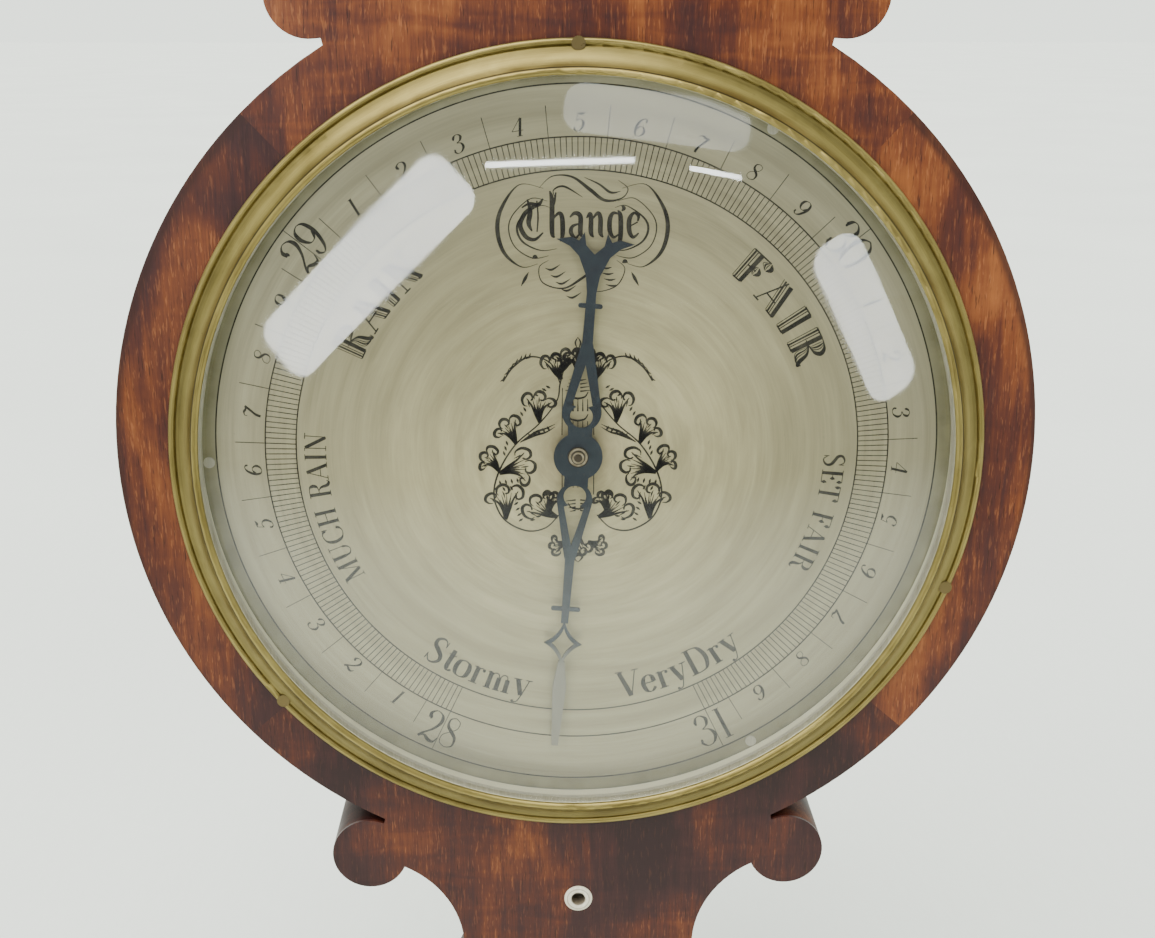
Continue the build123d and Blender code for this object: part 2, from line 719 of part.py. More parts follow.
with BuildPart() as siphon_tube:
    bend(tube_radius)
    limb(tube_radius, groove_radius, bend_height, short_top)
    limb(tube_radius, long_limb, bend_height, tube_top - tube_radius)
    with Locations((long_limb, -tube_depth, dial_height + tube_top - tube_radius)):
        Sphere(tube_radius)
    add(bore.part, mode=Mode.SUBTRACT)
siphon_tube.part.label = "siphon_tube"
export_step(siphon_tube.part, "parts/siphon_tube.step")

with BuildPart() as mercury_column:
    bend(bore_radius)
    limb(bore_radius, groove_radius, bend_height, lowest_mercury)
    limb(bore_radius, long_limb, bend_height, long_mercury)
mercury_column.part.label = "mercury_column"
export_step(mercury_column.part, "parts/mercury_column.step")

with BuildPart() as mercury_top:
    limb(bore_radius - 0.02, groove_radius, lowest_mercury, short_mercury)
mercury_top.part.label = "mercury_top"
export_step(mercury_top.part, "parts/mercury_top.step")

with BuildPart() as tube_pads:
    for height in (150, 300, 450, 600):
        block((-29.9, -14.1), (height - 7, height + 7), (cover_depth, trough_depth))
    with Locations((long_limb, -tube_depth, dial_height)):
        Cylinder(tube_radius, 1400, mode=Mode.SUBTRACT)
tube_pads.part.label = "tube_pads"
export_step(tube_pads.part, "parts/tube_pads.step")

with BuildPart() as bend_block:
    block((-29.9, 14.9), (-216, -204), (cover_depth, trough_depth - 1.7))
    for across in (long_limb, groove_radius):
        with Locations((across, -tube_depth, dial_height - 210)):
            Cylinder(tube_radius, 30, mode=Mode.SUBTRACT)
bend_block.part.label = "bend_block"
export_step(bend_block.part, "parts/bend_block.step")

# Back of the case

with BuildPart() as neck_cover:
    block((-38, 38), (124.2, 649.8), (0, cover_depth))
    from_back(0, neck_cover_screws, *cover_screw)
neck_cover.part.label = "neck_cover"
export_step(neck_cover.part, "parts/neck_cover.step")

with BuildPart() as tail_cover:
    block((-38, 38), (-267.8, -124.2), (0, cover_depth))
    from_back(0, tail_cover_screws, *cover_screw)
tail_cover.part.label = "tail_cover"
export_step(tail_cover.part, "parts/tail_cover.step")

with BuildPart(front(0)) as cover_screws:
    countersunk(neck_cover_screws + tail_cover_screws, *cover_screw)
cover_screws.part.label = "cover_screws"
export_step(cover_screws.part, "parts/cover_screws.step")

with BuildPart() as hanging_plate:
    with BuildSketch(front(0, 0)):
        Rectangle(24, 32)
        Circle(4, mode=Mode.SUBTRACT)
    extrude(amount=2)
    from_back(0, [(x, z - dial_height) for x, z in hanging_screws], *small_screw)
hanging_plate.part.label = "hanging_plate"
export_step(hanging_plate.part, "parts/hanging_plate.step")

with BuildPart() as plate_screws:
    with Locations(front(0)):
        countersunk([(x, z - dial_height) for x, z in hanging_screws], *small_screw)
    with Locations(front(0.1)):
        countersunk(case_leaf_screws, *small_screw)
plate_screws.part.label = "plate_screws"
export_step(plate_screws.part, "parts/plate_screws.step")

with BuildPart() as back_door:
    with BuildSketch(front(0)):
        Circle(door_radius)
        with Locations((hinge_across + hinge_gap, 0)):
            Rectangle(300, 300, align=(Align.MIN, Align.CENTER), mode=Mode.INTERSECT)
    extrude(amount=door_thickness)
    with BuildSketch(front(0)):
        with Locations((button_across, 0)):
            Circle(button_sweep)
    extrude(amount=2.5, mode=Mode.SUBTRACT)
    for height in hinge_heights:
        box_cut((hinge_across + hinge_gap - 1, hinge_across + 14), (height - 12, height + 12), (0, 1.1))
    from_back(0.1, door_leaf_screws, *small_screw[:2], 4.4)
back_door.part.label = "back_door"
export_step(back_door.part, "parts/back_door.step")


def hinge_leaf(side, knuckles, bore_size):
    """One leaf of each hinge, on one side of the pins, with its share of the knuckles."""
    for height in hinge_heights:
        block(
            sorted((hinge_across + side * 0.4, hinge_across + side * 13.8)),
            (height - 11.8, height + 11.8),
            (0.1, 1.1),
        )
        for low in (-11.8, -3.8, 4.2):
            if low not in knuckles:
                box_cut(
                    sorted((hinge_across - side, hinge_across + side * 2.0)),
                    (height + low - 0.2, height + low + knuckle_length + 0.2),
                    (0, 2),
                )
        for low in knuckles:
            with Locations((hinge_across, -hinge_depth, dial_height + height + low)):
                Cylinder(knuckle_radius, knuckle_length, align=(Align.CENTER, Align.CENTER, Align.MIN))
        with Locations((hinge_across, -hinge_depth, dial_height + height)):
            Cylinder(bore_size, 40, mode=Mode.SUBTRACT)


with BuildPart() as hinge_leaves_case:
    hinge_leaf(-1, (-11.8, 4.2), pin_radius)
    from_back(0.1, case_leaf_screws, *small_screw)
hinge_leaves_case.part.label = "hinge_leaves_case"
export_step(hinge_leaves_case.part, "parts/hinge_leaves_case.step")

with BuildPart() as hinge_leaves_door:
    hinge_leaf(1, (-3.8,), pin_radius + running_gap)
    from_back(0.1, door_leaf_screws, *small_screw[:2], 4.4)
hinge_leaves_door.part.label = "hinge_leaves_door"
export_step(hinge_leaves_door.part, "parts/hinge_leaves_door.step")

with BuildPart() as hinge_pins:
    for height in hinge_heights:
        with Locations((hinge_across, -hinge_depth, dial_height + height)):
            Cylinder(pin_radius, 24)
hinge_pins.part.label = "hinge_pins"
export_step(hinge_pins.part, "parts/hinge_pins.step")

with BuildPart(front(0.1)) as hinge_screws_door:
    countersunk(door_leaf_screws, *small_screw[:2], 4.4)
hinge_screws_door.part.label = "hinge_screws_door"
export_step(hinge_screws_door.part, "parts/hinge_screws_door.step")

with BuildPart() as turn_button:
    with BuildSketch(front(0.2, dial_height, button_across)):
        SlotOverall(26, 9, rotation=90)
        Circle(1.35, mode=Mode.SUBTRACT)
    extrude(amount=2)
    with BuildSketch(front(0.2, dial_height, button_across)):
        Circle(2.9)
    extrude(amount=0.9, mode=Mode.SUBTRACT)
turn_button.part.label = "turn_button"
export_step(turn_button.part, "parts/turn_button.step")

with BuildPart(front(0.3, dial_height, button_across)) as turn_button_screw:
    Cylinder(2.6, 0.7, align=(Align.CENTER, Align.CENTER, Align.MIN))
    Cylinder(1.3, 12, align=(Align.CENTER, Align.CENTER, Align.MIN))
turn_button_screw.part.label = "turn_button_screw"
export_step(turn_button_screw.part, "parts/turn_button_screw.step")

# Thermometer

with BuildPart() as thermometer_box:
    with BuildSketch(front(36.1)):
        with Locations((0, thermometer_height)):
            Rectangle(43.8, 235.8)
    extrude(amount=13.9)
    with BuildSketch(front(38.1)):
        with Locations((0, thermometer_height)):
            Rectangle(38, 230)
    extrude(amount=20, mode=Mode.SUBTRACT)
    with BuildSketch(front(48)):
        with Locations((0, thermometer_height)):
            Rectangle(49, 241)
            Rectangle(38, 230, mode=Mode.SUBTRACT)
    extrude(amount=3)
    chamfer(thermometer_box.faces().sort_by(Axis.Y)[0].outer_wire().edges(), length=1.6)
thermometer_box.part.label = "thermometer_box"
export_step(thermometer_box.part, "parts/thermometer_box.step")

with BuildPart() as thermometer_scale:
    with BuildSketch(front(38.1)):
        with Locations((0, thermometer_height)):
            RectangleRounded(37, 229, 1)
    extrude(amount=1)
thermometer_scale.part.label = "thermometer_scale"
export_step(thermometer_scale.part, "parts/thermometer_scale.step")

with BuildPart() as thermometer_pane:
    with BuildSketch(front(48.4)):
        with Locations((0, thermometer_height)):
            Rectangle(37.9, 229.9)
    extrude(amount=1.6)
thermometer_pane.part.label = "thermometer_pane"
export_step(thermometer_pane.part, "parts/thermometer_pane.step")

stem_low = dial_height + thermometer_height - 88
with BuildPart() as thermometer_tube:
    with BuildSketch(Plane(origin=(0, -44, stem_low), x_dir=(1, 0, 0), z_dir=(0, -1, 0))):
        with BuildLine():
            bulb = ThreePointArc((0, -8), (4.2, -3.6), (1.6, 0.8))
            Polyline(bulb @ 1, (1.6, 184), (0, 185.5), (0, -8))
        make_face()
    revolve(axis=Axis((0, -44, stem_low), (0, 0, 1)))
thermometer_tube.part.label = "thermometer_tube"
export_step(thermometer_tube.part, "parts/thermometer_tube.step")

with BuildPart() as thermometer_clips:
    for shift in (20, 95, 170):
        with BuildSketch(front(39.1)):
            with Locations((0, thermometer_height - 88 + shift)):
                Rectangle(8, 1.6)
        extrude(amount=6.9)
        with Locations((0, -44, stem_low + shift)):
            Cylinder(1.6, 4, mode=Mode.SUBTRACT)
            Box(3.2, 10, 4, align=(Align.CENTER, Align.MIN, Align.CENTER), mode=Mode.SUBTRACT)
thermometer_clips.part.label = "thermometer_clips"
export_step(thermometer_clips.part, "parts/thermometer_clips.step")

# Level

with BuildPart() as level_plate:
    with BuildSketch(front(case_depth)):
        with Locations((0, level_height)):
            SlotOverall(64, 17)
            SlotOverall(34, 6, mode=Mode.SUBTRACT)
        with Locations((-26.5, level_height), (26.5, level_height)):
            Circle(0.9, mode=Mode.SUBTRACT)
    extrude(amount=1.2)
level_plate.part.label = "level_plate"
export_step(level_plate.part, "parts/level_plate.step")

with BuildPart() as level_vial:
    with Locations(Location((0, -42.5, dial_height + level_height), (0, 90, 0))):
        Cylinder(4.2, 44)
level_vial.part.label = "level_vial"
export_step(level_vial.part, "parts/level_vial.step")

with BuildPart(front(case_depth)) as level_screws:
    with Locations((-26.5, level_height), (26.5, level_height)):
        Cylinder(0.9, 9, align=(Align.CENTER, Align.CENTER, Align.MAX))
        Cylinder(0.9, 1.2, align=(Align.CENTER, Align.CENTER, Align.MIN))
    with Locations((-26.5, level_height, 1.2), (26.5, level_height, 1.2)):
        Cone(2, 1.2, 0.8, align=(Align.CENTER, Align.CENTER, Align.MIN))
level_screws.part.label = "level_screws"
export_step(level_screws.part, "parts/level_screws.step")
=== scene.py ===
import json
import math
import bmesh
import bpy
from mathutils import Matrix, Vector


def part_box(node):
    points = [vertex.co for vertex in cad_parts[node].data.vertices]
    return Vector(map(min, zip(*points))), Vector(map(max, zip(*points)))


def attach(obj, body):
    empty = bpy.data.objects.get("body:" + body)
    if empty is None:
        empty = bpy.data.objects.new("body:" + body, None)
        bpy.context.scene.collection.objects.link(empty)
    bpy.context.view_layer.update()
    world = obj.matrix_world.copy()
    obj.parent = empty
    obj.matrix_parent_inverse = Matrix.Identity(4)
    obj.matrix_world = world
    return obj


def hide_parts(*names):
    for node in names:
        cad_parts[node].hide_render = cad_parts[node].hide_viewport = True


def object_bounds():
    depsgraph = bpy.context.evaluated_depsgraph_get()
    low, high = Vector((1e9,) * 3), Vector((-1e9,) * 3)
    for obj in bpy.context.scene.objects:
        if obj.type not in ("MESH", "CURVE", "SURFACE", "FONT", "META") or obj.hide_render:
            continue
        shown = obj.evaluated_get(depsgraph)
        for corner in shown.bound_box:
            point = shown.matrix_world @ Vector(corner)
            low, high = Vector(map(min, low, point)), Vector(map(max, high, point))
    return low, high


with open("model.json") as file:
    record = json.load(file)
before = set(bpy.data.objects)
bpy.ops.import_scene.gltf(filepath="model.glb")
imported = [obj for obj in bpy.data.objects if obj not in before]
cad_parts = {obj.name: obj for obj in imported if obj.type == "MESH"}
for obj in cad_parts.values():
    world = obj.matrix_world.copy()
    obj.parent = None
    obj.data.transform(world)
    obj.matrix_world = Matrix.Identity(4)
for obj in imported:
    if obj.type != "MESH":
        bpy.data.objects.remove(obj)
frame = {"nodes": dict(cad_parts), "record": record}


def plain_box(corners):
    return [list(corner) for corner in corners]


frame_box = plain_box(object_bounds())

# ---------------------------------------------------------------- sizes, in metres
MM = 0.001
DIAL_HEIGHT = -0.668
DIAL_FACE = -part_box("dial_plate")[0][1]
INK_RISE = 0.05 * MM
INK_SUNK = 0.02 * MM
DIAL_RADIUS = 134.0 * MM
ROUND_RADIUS = 159.5 * MM
GLASS_OUTER = 131.6 * MM
GLASS_RISE = 13.0 * MM
GLASS_EDGE_DEPTH = 53.4 * MM
GLASS_THICKNESS = 2.2 * MM
THERMOMETER_LOW, THERMOMETER_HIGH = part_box("thermometer_scale")
FLOOR = frame_box[0][2]


# ---------------------------------------------------------------- finishes
class Finish:
    """One procedural finish, built up node by node on a Principled shader."""

    def __init__(self, name, metal=0.0, rough=0.4, colour=(0.5, 0.5, 0.5)):
        self.material = bpy.data.materials.new(name)
        self.material.use_nodes = True
        self.tree = self.material.node_tree
        self.shader = self.tree.nodes["Principled BSDF"]
        self.output = self.tree.nodes["Material Output"]
        self.shader.inputs["Metallic"].default_value = metal
        self.shader.inputs["Roughness"].default_value = rough
        self.shader.inputs["Base Color"].default_value = (*colour, 1)
        self.place = self.add("ShaderNodeTexCoord").outputs["Object"]

    def add(self, kind, **settings):
        node = self.tree.nodes.new(kind)
        for name, value in settings.items():
            setattr(node, name, value)
        return node

    def plug(self, value, socket):
        if isinstance(value, bpy.types.NodeSocket):
            self.tree.links.new(value, socket)
        elif isinstance(value, tuple) and len(value) == 3 and socket.type == "RGBA":
            socket.default_value = (*value, 1)
        else:
            socket.default_value = value

    def split(self, place=None):
        """The x, y and z of a place."""
        node = self.add("ShaderNodeSeparateXYZ")
        self.plug(place or self.place, node.inputs[0])
        return node.outputs

    def sum(self, operation, *values):
        node = self.add("ShaderNodeMath", operation=operation)
        for value, socket in zip(values, node.inputs):
            self.plug(value, socket)
        return node.outputs[0]

    def total(self, *shares):
        """The sum of values, each times its own share."""
        whole, *rest = [self.sum("MULTIPLY", value, share) for value, share in shares]
        for part in rest:
            whole = self.sum("ADD", whole, part)
        return whole

    def vector(self, operation, *values):
        node = self.add("ShaderNodeVectorMath", operation=operation)
        for value, socket in zip(values, node.inputs):
            self.plug(value, socket)
        return node

    def turned(self, turn=(0, 0, 0), stretch=(1, 1, 1), place=None):
        node = self.add("ShaderNodeMapping")
        self.plug(place or self.place, node.inputs["Vector"])
        node.inputs["Rotation"].default_value = turn
        node.inputs["Scale"].default_value = stretch
        return node.outputs[0]

    def noise(self, scale, detail=3.0, place=None, rough=0.5, bend=0.0):
        node = self.add("ShaderNodeTexNoise")
        self.plug(place or self.place, node.inputs["Vector"])
        node.inputs["Scale"].default_value = scale
        node.inputs["Detail"].default_value = detail
        node.inputs["Roughness"].default_value = rough
        node.inputs["Distortion"].default_value = bend
        return node.outputs["Fac"]

    def ramp(self, value, *stops, ease="LINEAR"):
        node = self.add("ShaderNodeValToRGB")
        node.color_ramp.interpolation = ease
        self.plug(value, node.inputs[0])
        marks = node.color_ramp.elements
        while len(marks) < len(stops):
            marks.new(0.5)
        for mark, (at, shade) in zip(marks, stops):
            mark.position = at
            mark.color = (*shade, 1) if isinstance(shade, tuple) else (shade, shade, shade, 1)
        return node.outputs[0]

    def mix(self, share, first, second, blend="MIX"):
        node = self.add("ShaderNodeMix", data_type="RGBA", blend_type=blend)
        self.plug(share, node.inputs["Factor"])
        self.plug(first, node.inputs[6])
        self.plug(second, node.inputs[7])
        return node.outputs[2]

    def spread(self, value, low_in, high_in, low_out, high_out):
        node = self.add("ShaderNodeMapRange")
        for number, setting in enumerate((value, low_in, high_in, low_out, high_out)):
            self.plug(setting, node.inputs[number])
        return node.outputs[0]

    def colour(self, socket):
        self.plug(socket, self.shader.inputs["Base Color"])
        return self

    def roughness(self, socket):
        self.plug(socket, self.shader.inputs["Roughness"])
        return self

    def relief(self, height, strength=0.3, distance=0.0002):
        node = self.add("ShaderNodeBump")
        node.inputs["Strength"].default_value = strength
        node.inputs["Distance"].default_value = distance
        self.plug(height, node.inputs["Height"])
        self.plug(node.outputs[0], self.shader.inputs["Normal"])
        return self

    def polish(self, weight, rough):
        self.shader.inputs["Coat Weight"].default_value = weight
        self.shader.inputs["Coat Roughness"].default_value = rough
        return self

    def around(self, height=DIAL_HEIGHT):
        """Distance from the dial's axis, and a seamless place for rings that run round it."""
        x, _, z = self.split()
        flat = self.add("ShaderNodeCombineXYZ")
        self.plug(x, flat.inputs[0])
        self.plug(self.sum("SUBTRACT", z, height), flat.inputs[2])
        length = self.vector("LENGTH", flat.outputs[0]).outputs["Value"]
        facing = self.vector("NORMALIZE", flat.outputs[0]).outputs[0]
        return length, facing

    def rings(self, length, facing, fine, along):
        node = self.add("ShaderNodeCombineXYZ")
        x, _, z = self.split(facing)
        self.plug(self.sum("MULTIPLY", x, along), node.inputs[0])
        self.plug(self.sum("MULTIPLY", length, fine), node.inputs[1])
        self.plug(self.sum("MULTIPLY", z, along), node.inputs[2])
        return node.outputs[0]


def mahogany(name, grain_turn, flame, dark=1.0, ripple=0.3, gloss=1.0):
    """French-polished mahogany: figure, grain streaks, open pores and bright flecks."""
    wood = Finish(name, rough=0.36)
    turn = (0, grain_turn, 0)
    figure = wood.noise(1.0, 3.0, wood.turned(turn, (20, 20, 9)), 0.5, 1.0)
    streak = wood.noise(1.0, 5.0, wood.turned(turn, (330, 330, 22)), 0.6, 0.4)
    fibre = wood.noise(1.0, 3.0, wood.turned(turn, (1500, 1500, 60)), 0.6)
    across = wood.noise(1.0, 2.0, wood.turned(turn, (35, 35, 150)), 0.5, 0.8)
    rippled = wood.sum("SUBTRACT", across, 0.5)
    tone = wood.total((figure, 0.66), (streak, 0.22), (fibre, 0.12), (rippled, ripple * 0.20))
    tone = wood.sum("ADD", tone, flame)
    shade = wood.ramp(
        tone,
        (0.38, (0.026 * dark, 0.009 * dark, 0.009 * dark)),
        (0.46, (0.044 * dark, 0.013 * dark, 0.012 * dark)),
        (0.53, (0.080 * dark, 0.019 * dark, 0.010 * dark)),
        (0.60, (0.155 * dark, 0.040 * dark, 0.011 * dark)),
        (0.70, (0.280 * dark, 0.088 * dark, 0.020 * dark)),
    )
    pores = wood.noise(1.0, 2.0, wood.turned(turn, (1900, 1900, 130)), 0.7)
    shade = wood.mix(wood.ramp(pores, (0.60, 0.0), (0.70, 0.75)), shade, (0.020, 0.007, 0.005))
    flecks = wood.noise(1.0, 2.0, wood.turned((0.3, grain_turn, 0.2), (1500, 1500, 190)), 0.6)
    lively = wood.sum("MULTIPLY", wood.ramp(flecks, (0.58, 0.0), (0.68, 0.62)),
            wood.spread(tone, 0.46, 0.60, 0.12, 0.9))
    shade = wood.mix(lively, shade, (0.34 * dark, 0.115 * dark, 0.034 * dark))
    wood.colour(shade)
    smear = wood.noise(38.0, 4.0)
    wood.roughness(wood.spread(smear, 0.3, 0.7, 0.32, 0.48))
    wood.relief(wood.sum("ADD", pores, wood.sum("MULTIPLY", smear, 0.6)), 0.12, 0.0002)
    wood.shader.inputs["Specular IOR Level"].default_value = 0.20 * gloss
    wood.polish(0.10 * gloss, 0.12)
    return wood


def bordered(wood, edge_radius):
    """Darkens a round piece towards its outer edge: a painted edge shadow."""
    length, _ = wood.around()
    before = wood.shader.inputs["Base Color"].links[0].from_socket
    # Painted shadow: near-black brown blended in over the last 2.4 mm to the edge.
    rim = wood.spread(length, edge_radius - 2.4 * MM, edge_radius - 0.5 * MM, 0.0, 0.72)
    wood.colour(wood.mix(rim, before, (0.030, 0.009, 0.007)))
    return wood


def softwood(name, pale, deep):
    wood = Finish(name, rough=0.62)
    grain = wood.noise(1.0, 4.0, wood.turned(stretch=(260, 260, 9)), 0.6, 0.5)
    bands = wood.noise(1.0, 3.0, wood.turned(stretch=(46, 46, 3)), 0.5, 0.8)
    tone = wood.total((grain, 0.5), (bands, 0.5))
    stain = wood.noise(16.0, 5.0)
    shade = wood.ramp(tone, (0.34, deep), (0.66, pale))
    wood.colour(wood.mix(wood.spread(stain, 0.35, 0.75, 0.0, 0.5), shade, tuple(0.55 * c for c in deep)))
    wood.relief(grain, 0.25, 0.0003)
    return wood


def brass(name, bright, dull, rough=0.34):
    """Old lacquered brass: warm metal, brown tarnish in clouds and small specks."""
    coat = Finish(name, metal=0.92, rough=rough)
    cloud = coat.noise(46.0, 5.0, rough=0.6)
    speck = coat.noise(620.0, 3.0, rough=0.7)
    shade = coat.mix(coat.spread(cloud, 0.35, 0.70, 0.0, 0.5), bright, dull)
    spots = coat.ramp(speck, (0.64, 0.0), (0.76, 0.6))
    coat.colour(coat.mix(spots, shade, tuple(0.35 * c for c in dull)))
    coat.roughness(coat.spread(cloud, 0.3, 0.7, rough, rough + 0.16))
    coat.relief(speck, 0.08, 0.0001)
    return coat


# Pale colour painted on the bezel's inner wall as a painted reflection.
WALL_PAINTED_REFLECTION = (0.66, 0.64, 0.48)


def bezel_brass():
    """Spun brass, brushed round the dial, with painted shadow in its grooves, painted shading that leaves its
    bead and lip paler than its cove, and a painted reflection on its inner wall.
    """
    ring = Finish("aged_bezel_brass", metal=0.88, rough=0.36)
    length, facing = ring.around()
    brushing = ring.noise(1.0, 4.0, ring.rings(length, facing, 2600.0, 5.0), 0.65)
    cloud = ring.noise(1.0, 4.0, ring.rings(length, facing, 130.0, 5.5), 0.6, 0.6)
    speck = ring.noise(520.0, 3.0, rough=0.7)
    tone = ring.total((brushing, 0.35), (cloud, 0.65))
    shade = ring.ramp(tone, (0.30, (0.160, 0.120, 0.032)), (0.50, (0.250, 0.196, 0.060)),
            (0.70, (0.352, 0.285, 0.094)))
    # Painted light and shade across the profile: full brightness at the lip and the bead, down to 0.62 on the
    # cove between.
    slope_painted_shading = ring.ramp(ring.spread(length, 132.6 * MM, 138.6 * MM, 0.0, 1.0), (0.0, 1.0), (0.35, 0.86),
            (0.85, 0.62), (0.97, 0.72), (1.0, 1.0))
    shade = ring.mix(1.0, shade, slope_painted_shading, "MULTIPLY")
    # Painted shadows: a dark line at the lip's crest, a fainter one in the groove inside the bead, and a
    # darkened outer edge.
    groove_painted_shadows = ring.ramp(
        ring.spread(length, 129.0 * MM, 142.0 * MM, 0.0, 1.0),
        (0.05, 0.0), (0.245, 0.0), (0.265, 0.95), (0.285, 0.95), (0.30, 0.0), (0.725, 0.0), (0.75, 0.45),
        (0.775, 0.0), (0.96, 0.0), (1.0, 0.5),
    )
    shade = ring.mix(groove_painted_shadows, shade, (0.034, 0.024, 0.010))
    shade = ring.mix(ring.ramp(speck, (0.66, 0.0), (0.78, 0.5)), shade, (0.10, 0.07, 0.03))
    # Painted reflection: the inner wall behind the lip is painted pale and made almost non-metallic, for the
    # light it mirrors.
    deep = ring.spread(ring.split()[1], -54.6 * MM, -54.2 * MM, 0.0, 1.0)
    inner = ring.spread(length, 132.3 * MM, 132.5 * MM, 1.0, 0.0)
    inner_wall_painted_reflection = ring.sum("MULTIPLY", deep, inner)
    ring.colour(ring.mix(inner_wall_painted_reflection, shade, WALL_PAINTED_REFLECTION))
    ring.plug(ring.spread(inner_wall_painted_reflection, 0.0, 1.0, 0.88, 0.15), ring.shader.inputs["Metallic"])
    ring.roughness(ring.spread(tone, 0.3, 0.7, 0.30, 0.46))
    ring.relief(brushing, 0.10, 0.0001)
    return ring


def silvered_dial():
    """Silvered brass rubbed in circles, dull and warm in the middle, darker green-grey towards its rim."""
    dial = Finish("silvered_dial", metal=0.5, rough=0.42)
    length, facing = dial.around()
    fine = dial.noise(1.0, 5.0, dial.rings(length, facing, 1700.0, 2.4), 0.7)
    broad = dial.noise(1.0, 4.0, dial.rings(length, facing, 210.0, 1.6), 0.6, 0.4)
    stain = dial.noise(13.0, 5.0, rough=0.62, bend=0.5)
    tone = dial.total((fine, 0.35), (broad, 0.65))
    base = dial.ramp(
        dial.spread(length, 0.0, DIAL_RADIUS, 0.0, 1.0),
        (0.02, (0.330, 0.272, 0.145)), (0.14, (0.465, 0.418, 0.240)), (0.35, (0.440, 0.396, 0.225)),
        (0.70, (0.318, 0.290, 0.172)), (0.94, (0.360, 0.334, 0.218)),
    )
    shade = dial.mix(dial.spread(tone, 0.36, 0.64, 0.0, 1.0),
            dial.mix(1.0, base, (0.80, 0.79, 0.76), "MULTIPLY"),
            dial.mix(1.0, base, (1.12, 1.12, 1.12), "MULTIPLY"))
    shade = dial.mix(dial.spread(stain, 0.48, 0.78, 0.0, 0.35), shade, (0.27, 0.240, 0.140))
    # The band outside the border ring is coloured a darker, mottled green-grey.
    rim_mottle = dial.noise(1.0, 4.0, dial.rings(length, facing, 60.0, 9.0), 0.6)
    rim = dial.ramp(dial.spread(length, 124.0 * MM, DIAL_RADIUS, 0.0, 1.0), (0.27, 0.0), (0.33, 0.55),
            (0.8, 0.85))
    shade = dial.mix(rim, shade, dial.ramp(rim_mottle, (0.35, (0.150, 0.140, 0.066)),
            (0.65, (0.270, 0.256, 0.150))))
    speck = dial.noise(420.0, 3.0, rough=0.75)
    shade = dial.mix(dial.ramp(speck, (0.70, 0.0), (0.80, 0.5)), shade, (0.16, 0.145, 0.095))
    dial.colour(shade)
    dial.roughness(dial.spread(tone, 0.3, 0.7, 0.36, 0.50))
    dial.relief(fine, 0.10, 0.0001)
    dial.shader.inputs["Anisotropic"].default_value = 0.55
    round_axis = dial.add("ShaderNodeTangent", direction_type="RADIAL", axis="Y")
    dial.plug(round_axis.outputs[0], dial.shader.inputs["Tangent"])
    return dial


def silvered_strip(name):
    strip = Finish(name, metal=0.45, rough=0.42)
    rubbed = strip.noise(1.0, 4.0, strip.turned(stretch=(1500, 1500, 40)), 0.7)
    stain = strip.noise(60.0, 4.0)
    shade = strip.ramp(rubbed, (0.35, (0.44, 0.42, 0.34)), (0.65, (0.60, 0.58, 0.50)))
    strip.colour(strip.mix(strip.spread(stain, 0.45, 0.75, 0.0, 0.4), shade, (0.33, 0.31, 0.22)))
    strip.relief(rubbed, 0.08, 0.0001)
    return strip


def steel(name, bright, dark, rough, blue=False):
    coat = Finish(name, metal=0.95, rough=rough)
    cloud = coat.noise(90.0, 5.0, rough=0.6)
    shade = coat.mix(coat.spread(cloud, 0.35, 0.65, 0.0, 1.0), bright, dark)
    if blue:
        wear = coat.noise(700.0, 3.0, rough=0.7)
        shade = coat.mix(coat.ramp(wear, (0.60, 0.0), (0.74, 0.5)), shade, (0.090, 0.082, 0.070))
    coat.colour(shade)
    coat.roughness(coat.spread(cloud, 0.3, 0.7, rough, rough + 0.15))
    coat.relief(cloud, 0.10, 0.0001)
    return coat


def worn_hand():
    """The blued hand, its long tail painted pale grey as a painted reflection."""
    hand = steel("blued_hand", (0.046, 0.060, 0.072), (0.030, 0.038, 0.047), 0.36, blue=True)
    before = hand.shader.inputs["Base Color"].links[0].from_socket
    drop_below = hand.sum("SUBTRACT", DIAL_HEIGHT, hand.split()[2])
    # Painted reflection: the hand turns grey from 70 to 80 mm below the dial's centre.
    worn = hand.spread(drop_below, 70 * MM, 80 * MM, 0.0, 0.85)
    hand.colour(hand.mix(worn, before, (0.26, 0.245, 0.190)))
    return hand


def turned_collet():
    collet = Finish("turned_collet", metal=0.8, rough=0.36)
    length, _ = collet.around()
    lines = collet.ramp(
        collet.spread(length, 0.0, 4.0 * MM, 0.0, 1.0),
        (0.34, 1.0), (0.38, 0.0), (0.50, 0.0), (0.54, 0.95), (0.62, 0.95), (0.66, 0.0), (0.80, 0.0),
        (0.85, 1.0),
    )
    patina = collet.ramp(collet.noise(700.0, 3.0), (0.35, (0.27, 0.22, 0.13)), (0.65, (0.46, 0.40, 0.27)))
    collet.colour(collet.mix(lines, patina, (0.030, 0.022, 0.014)))
    return collet


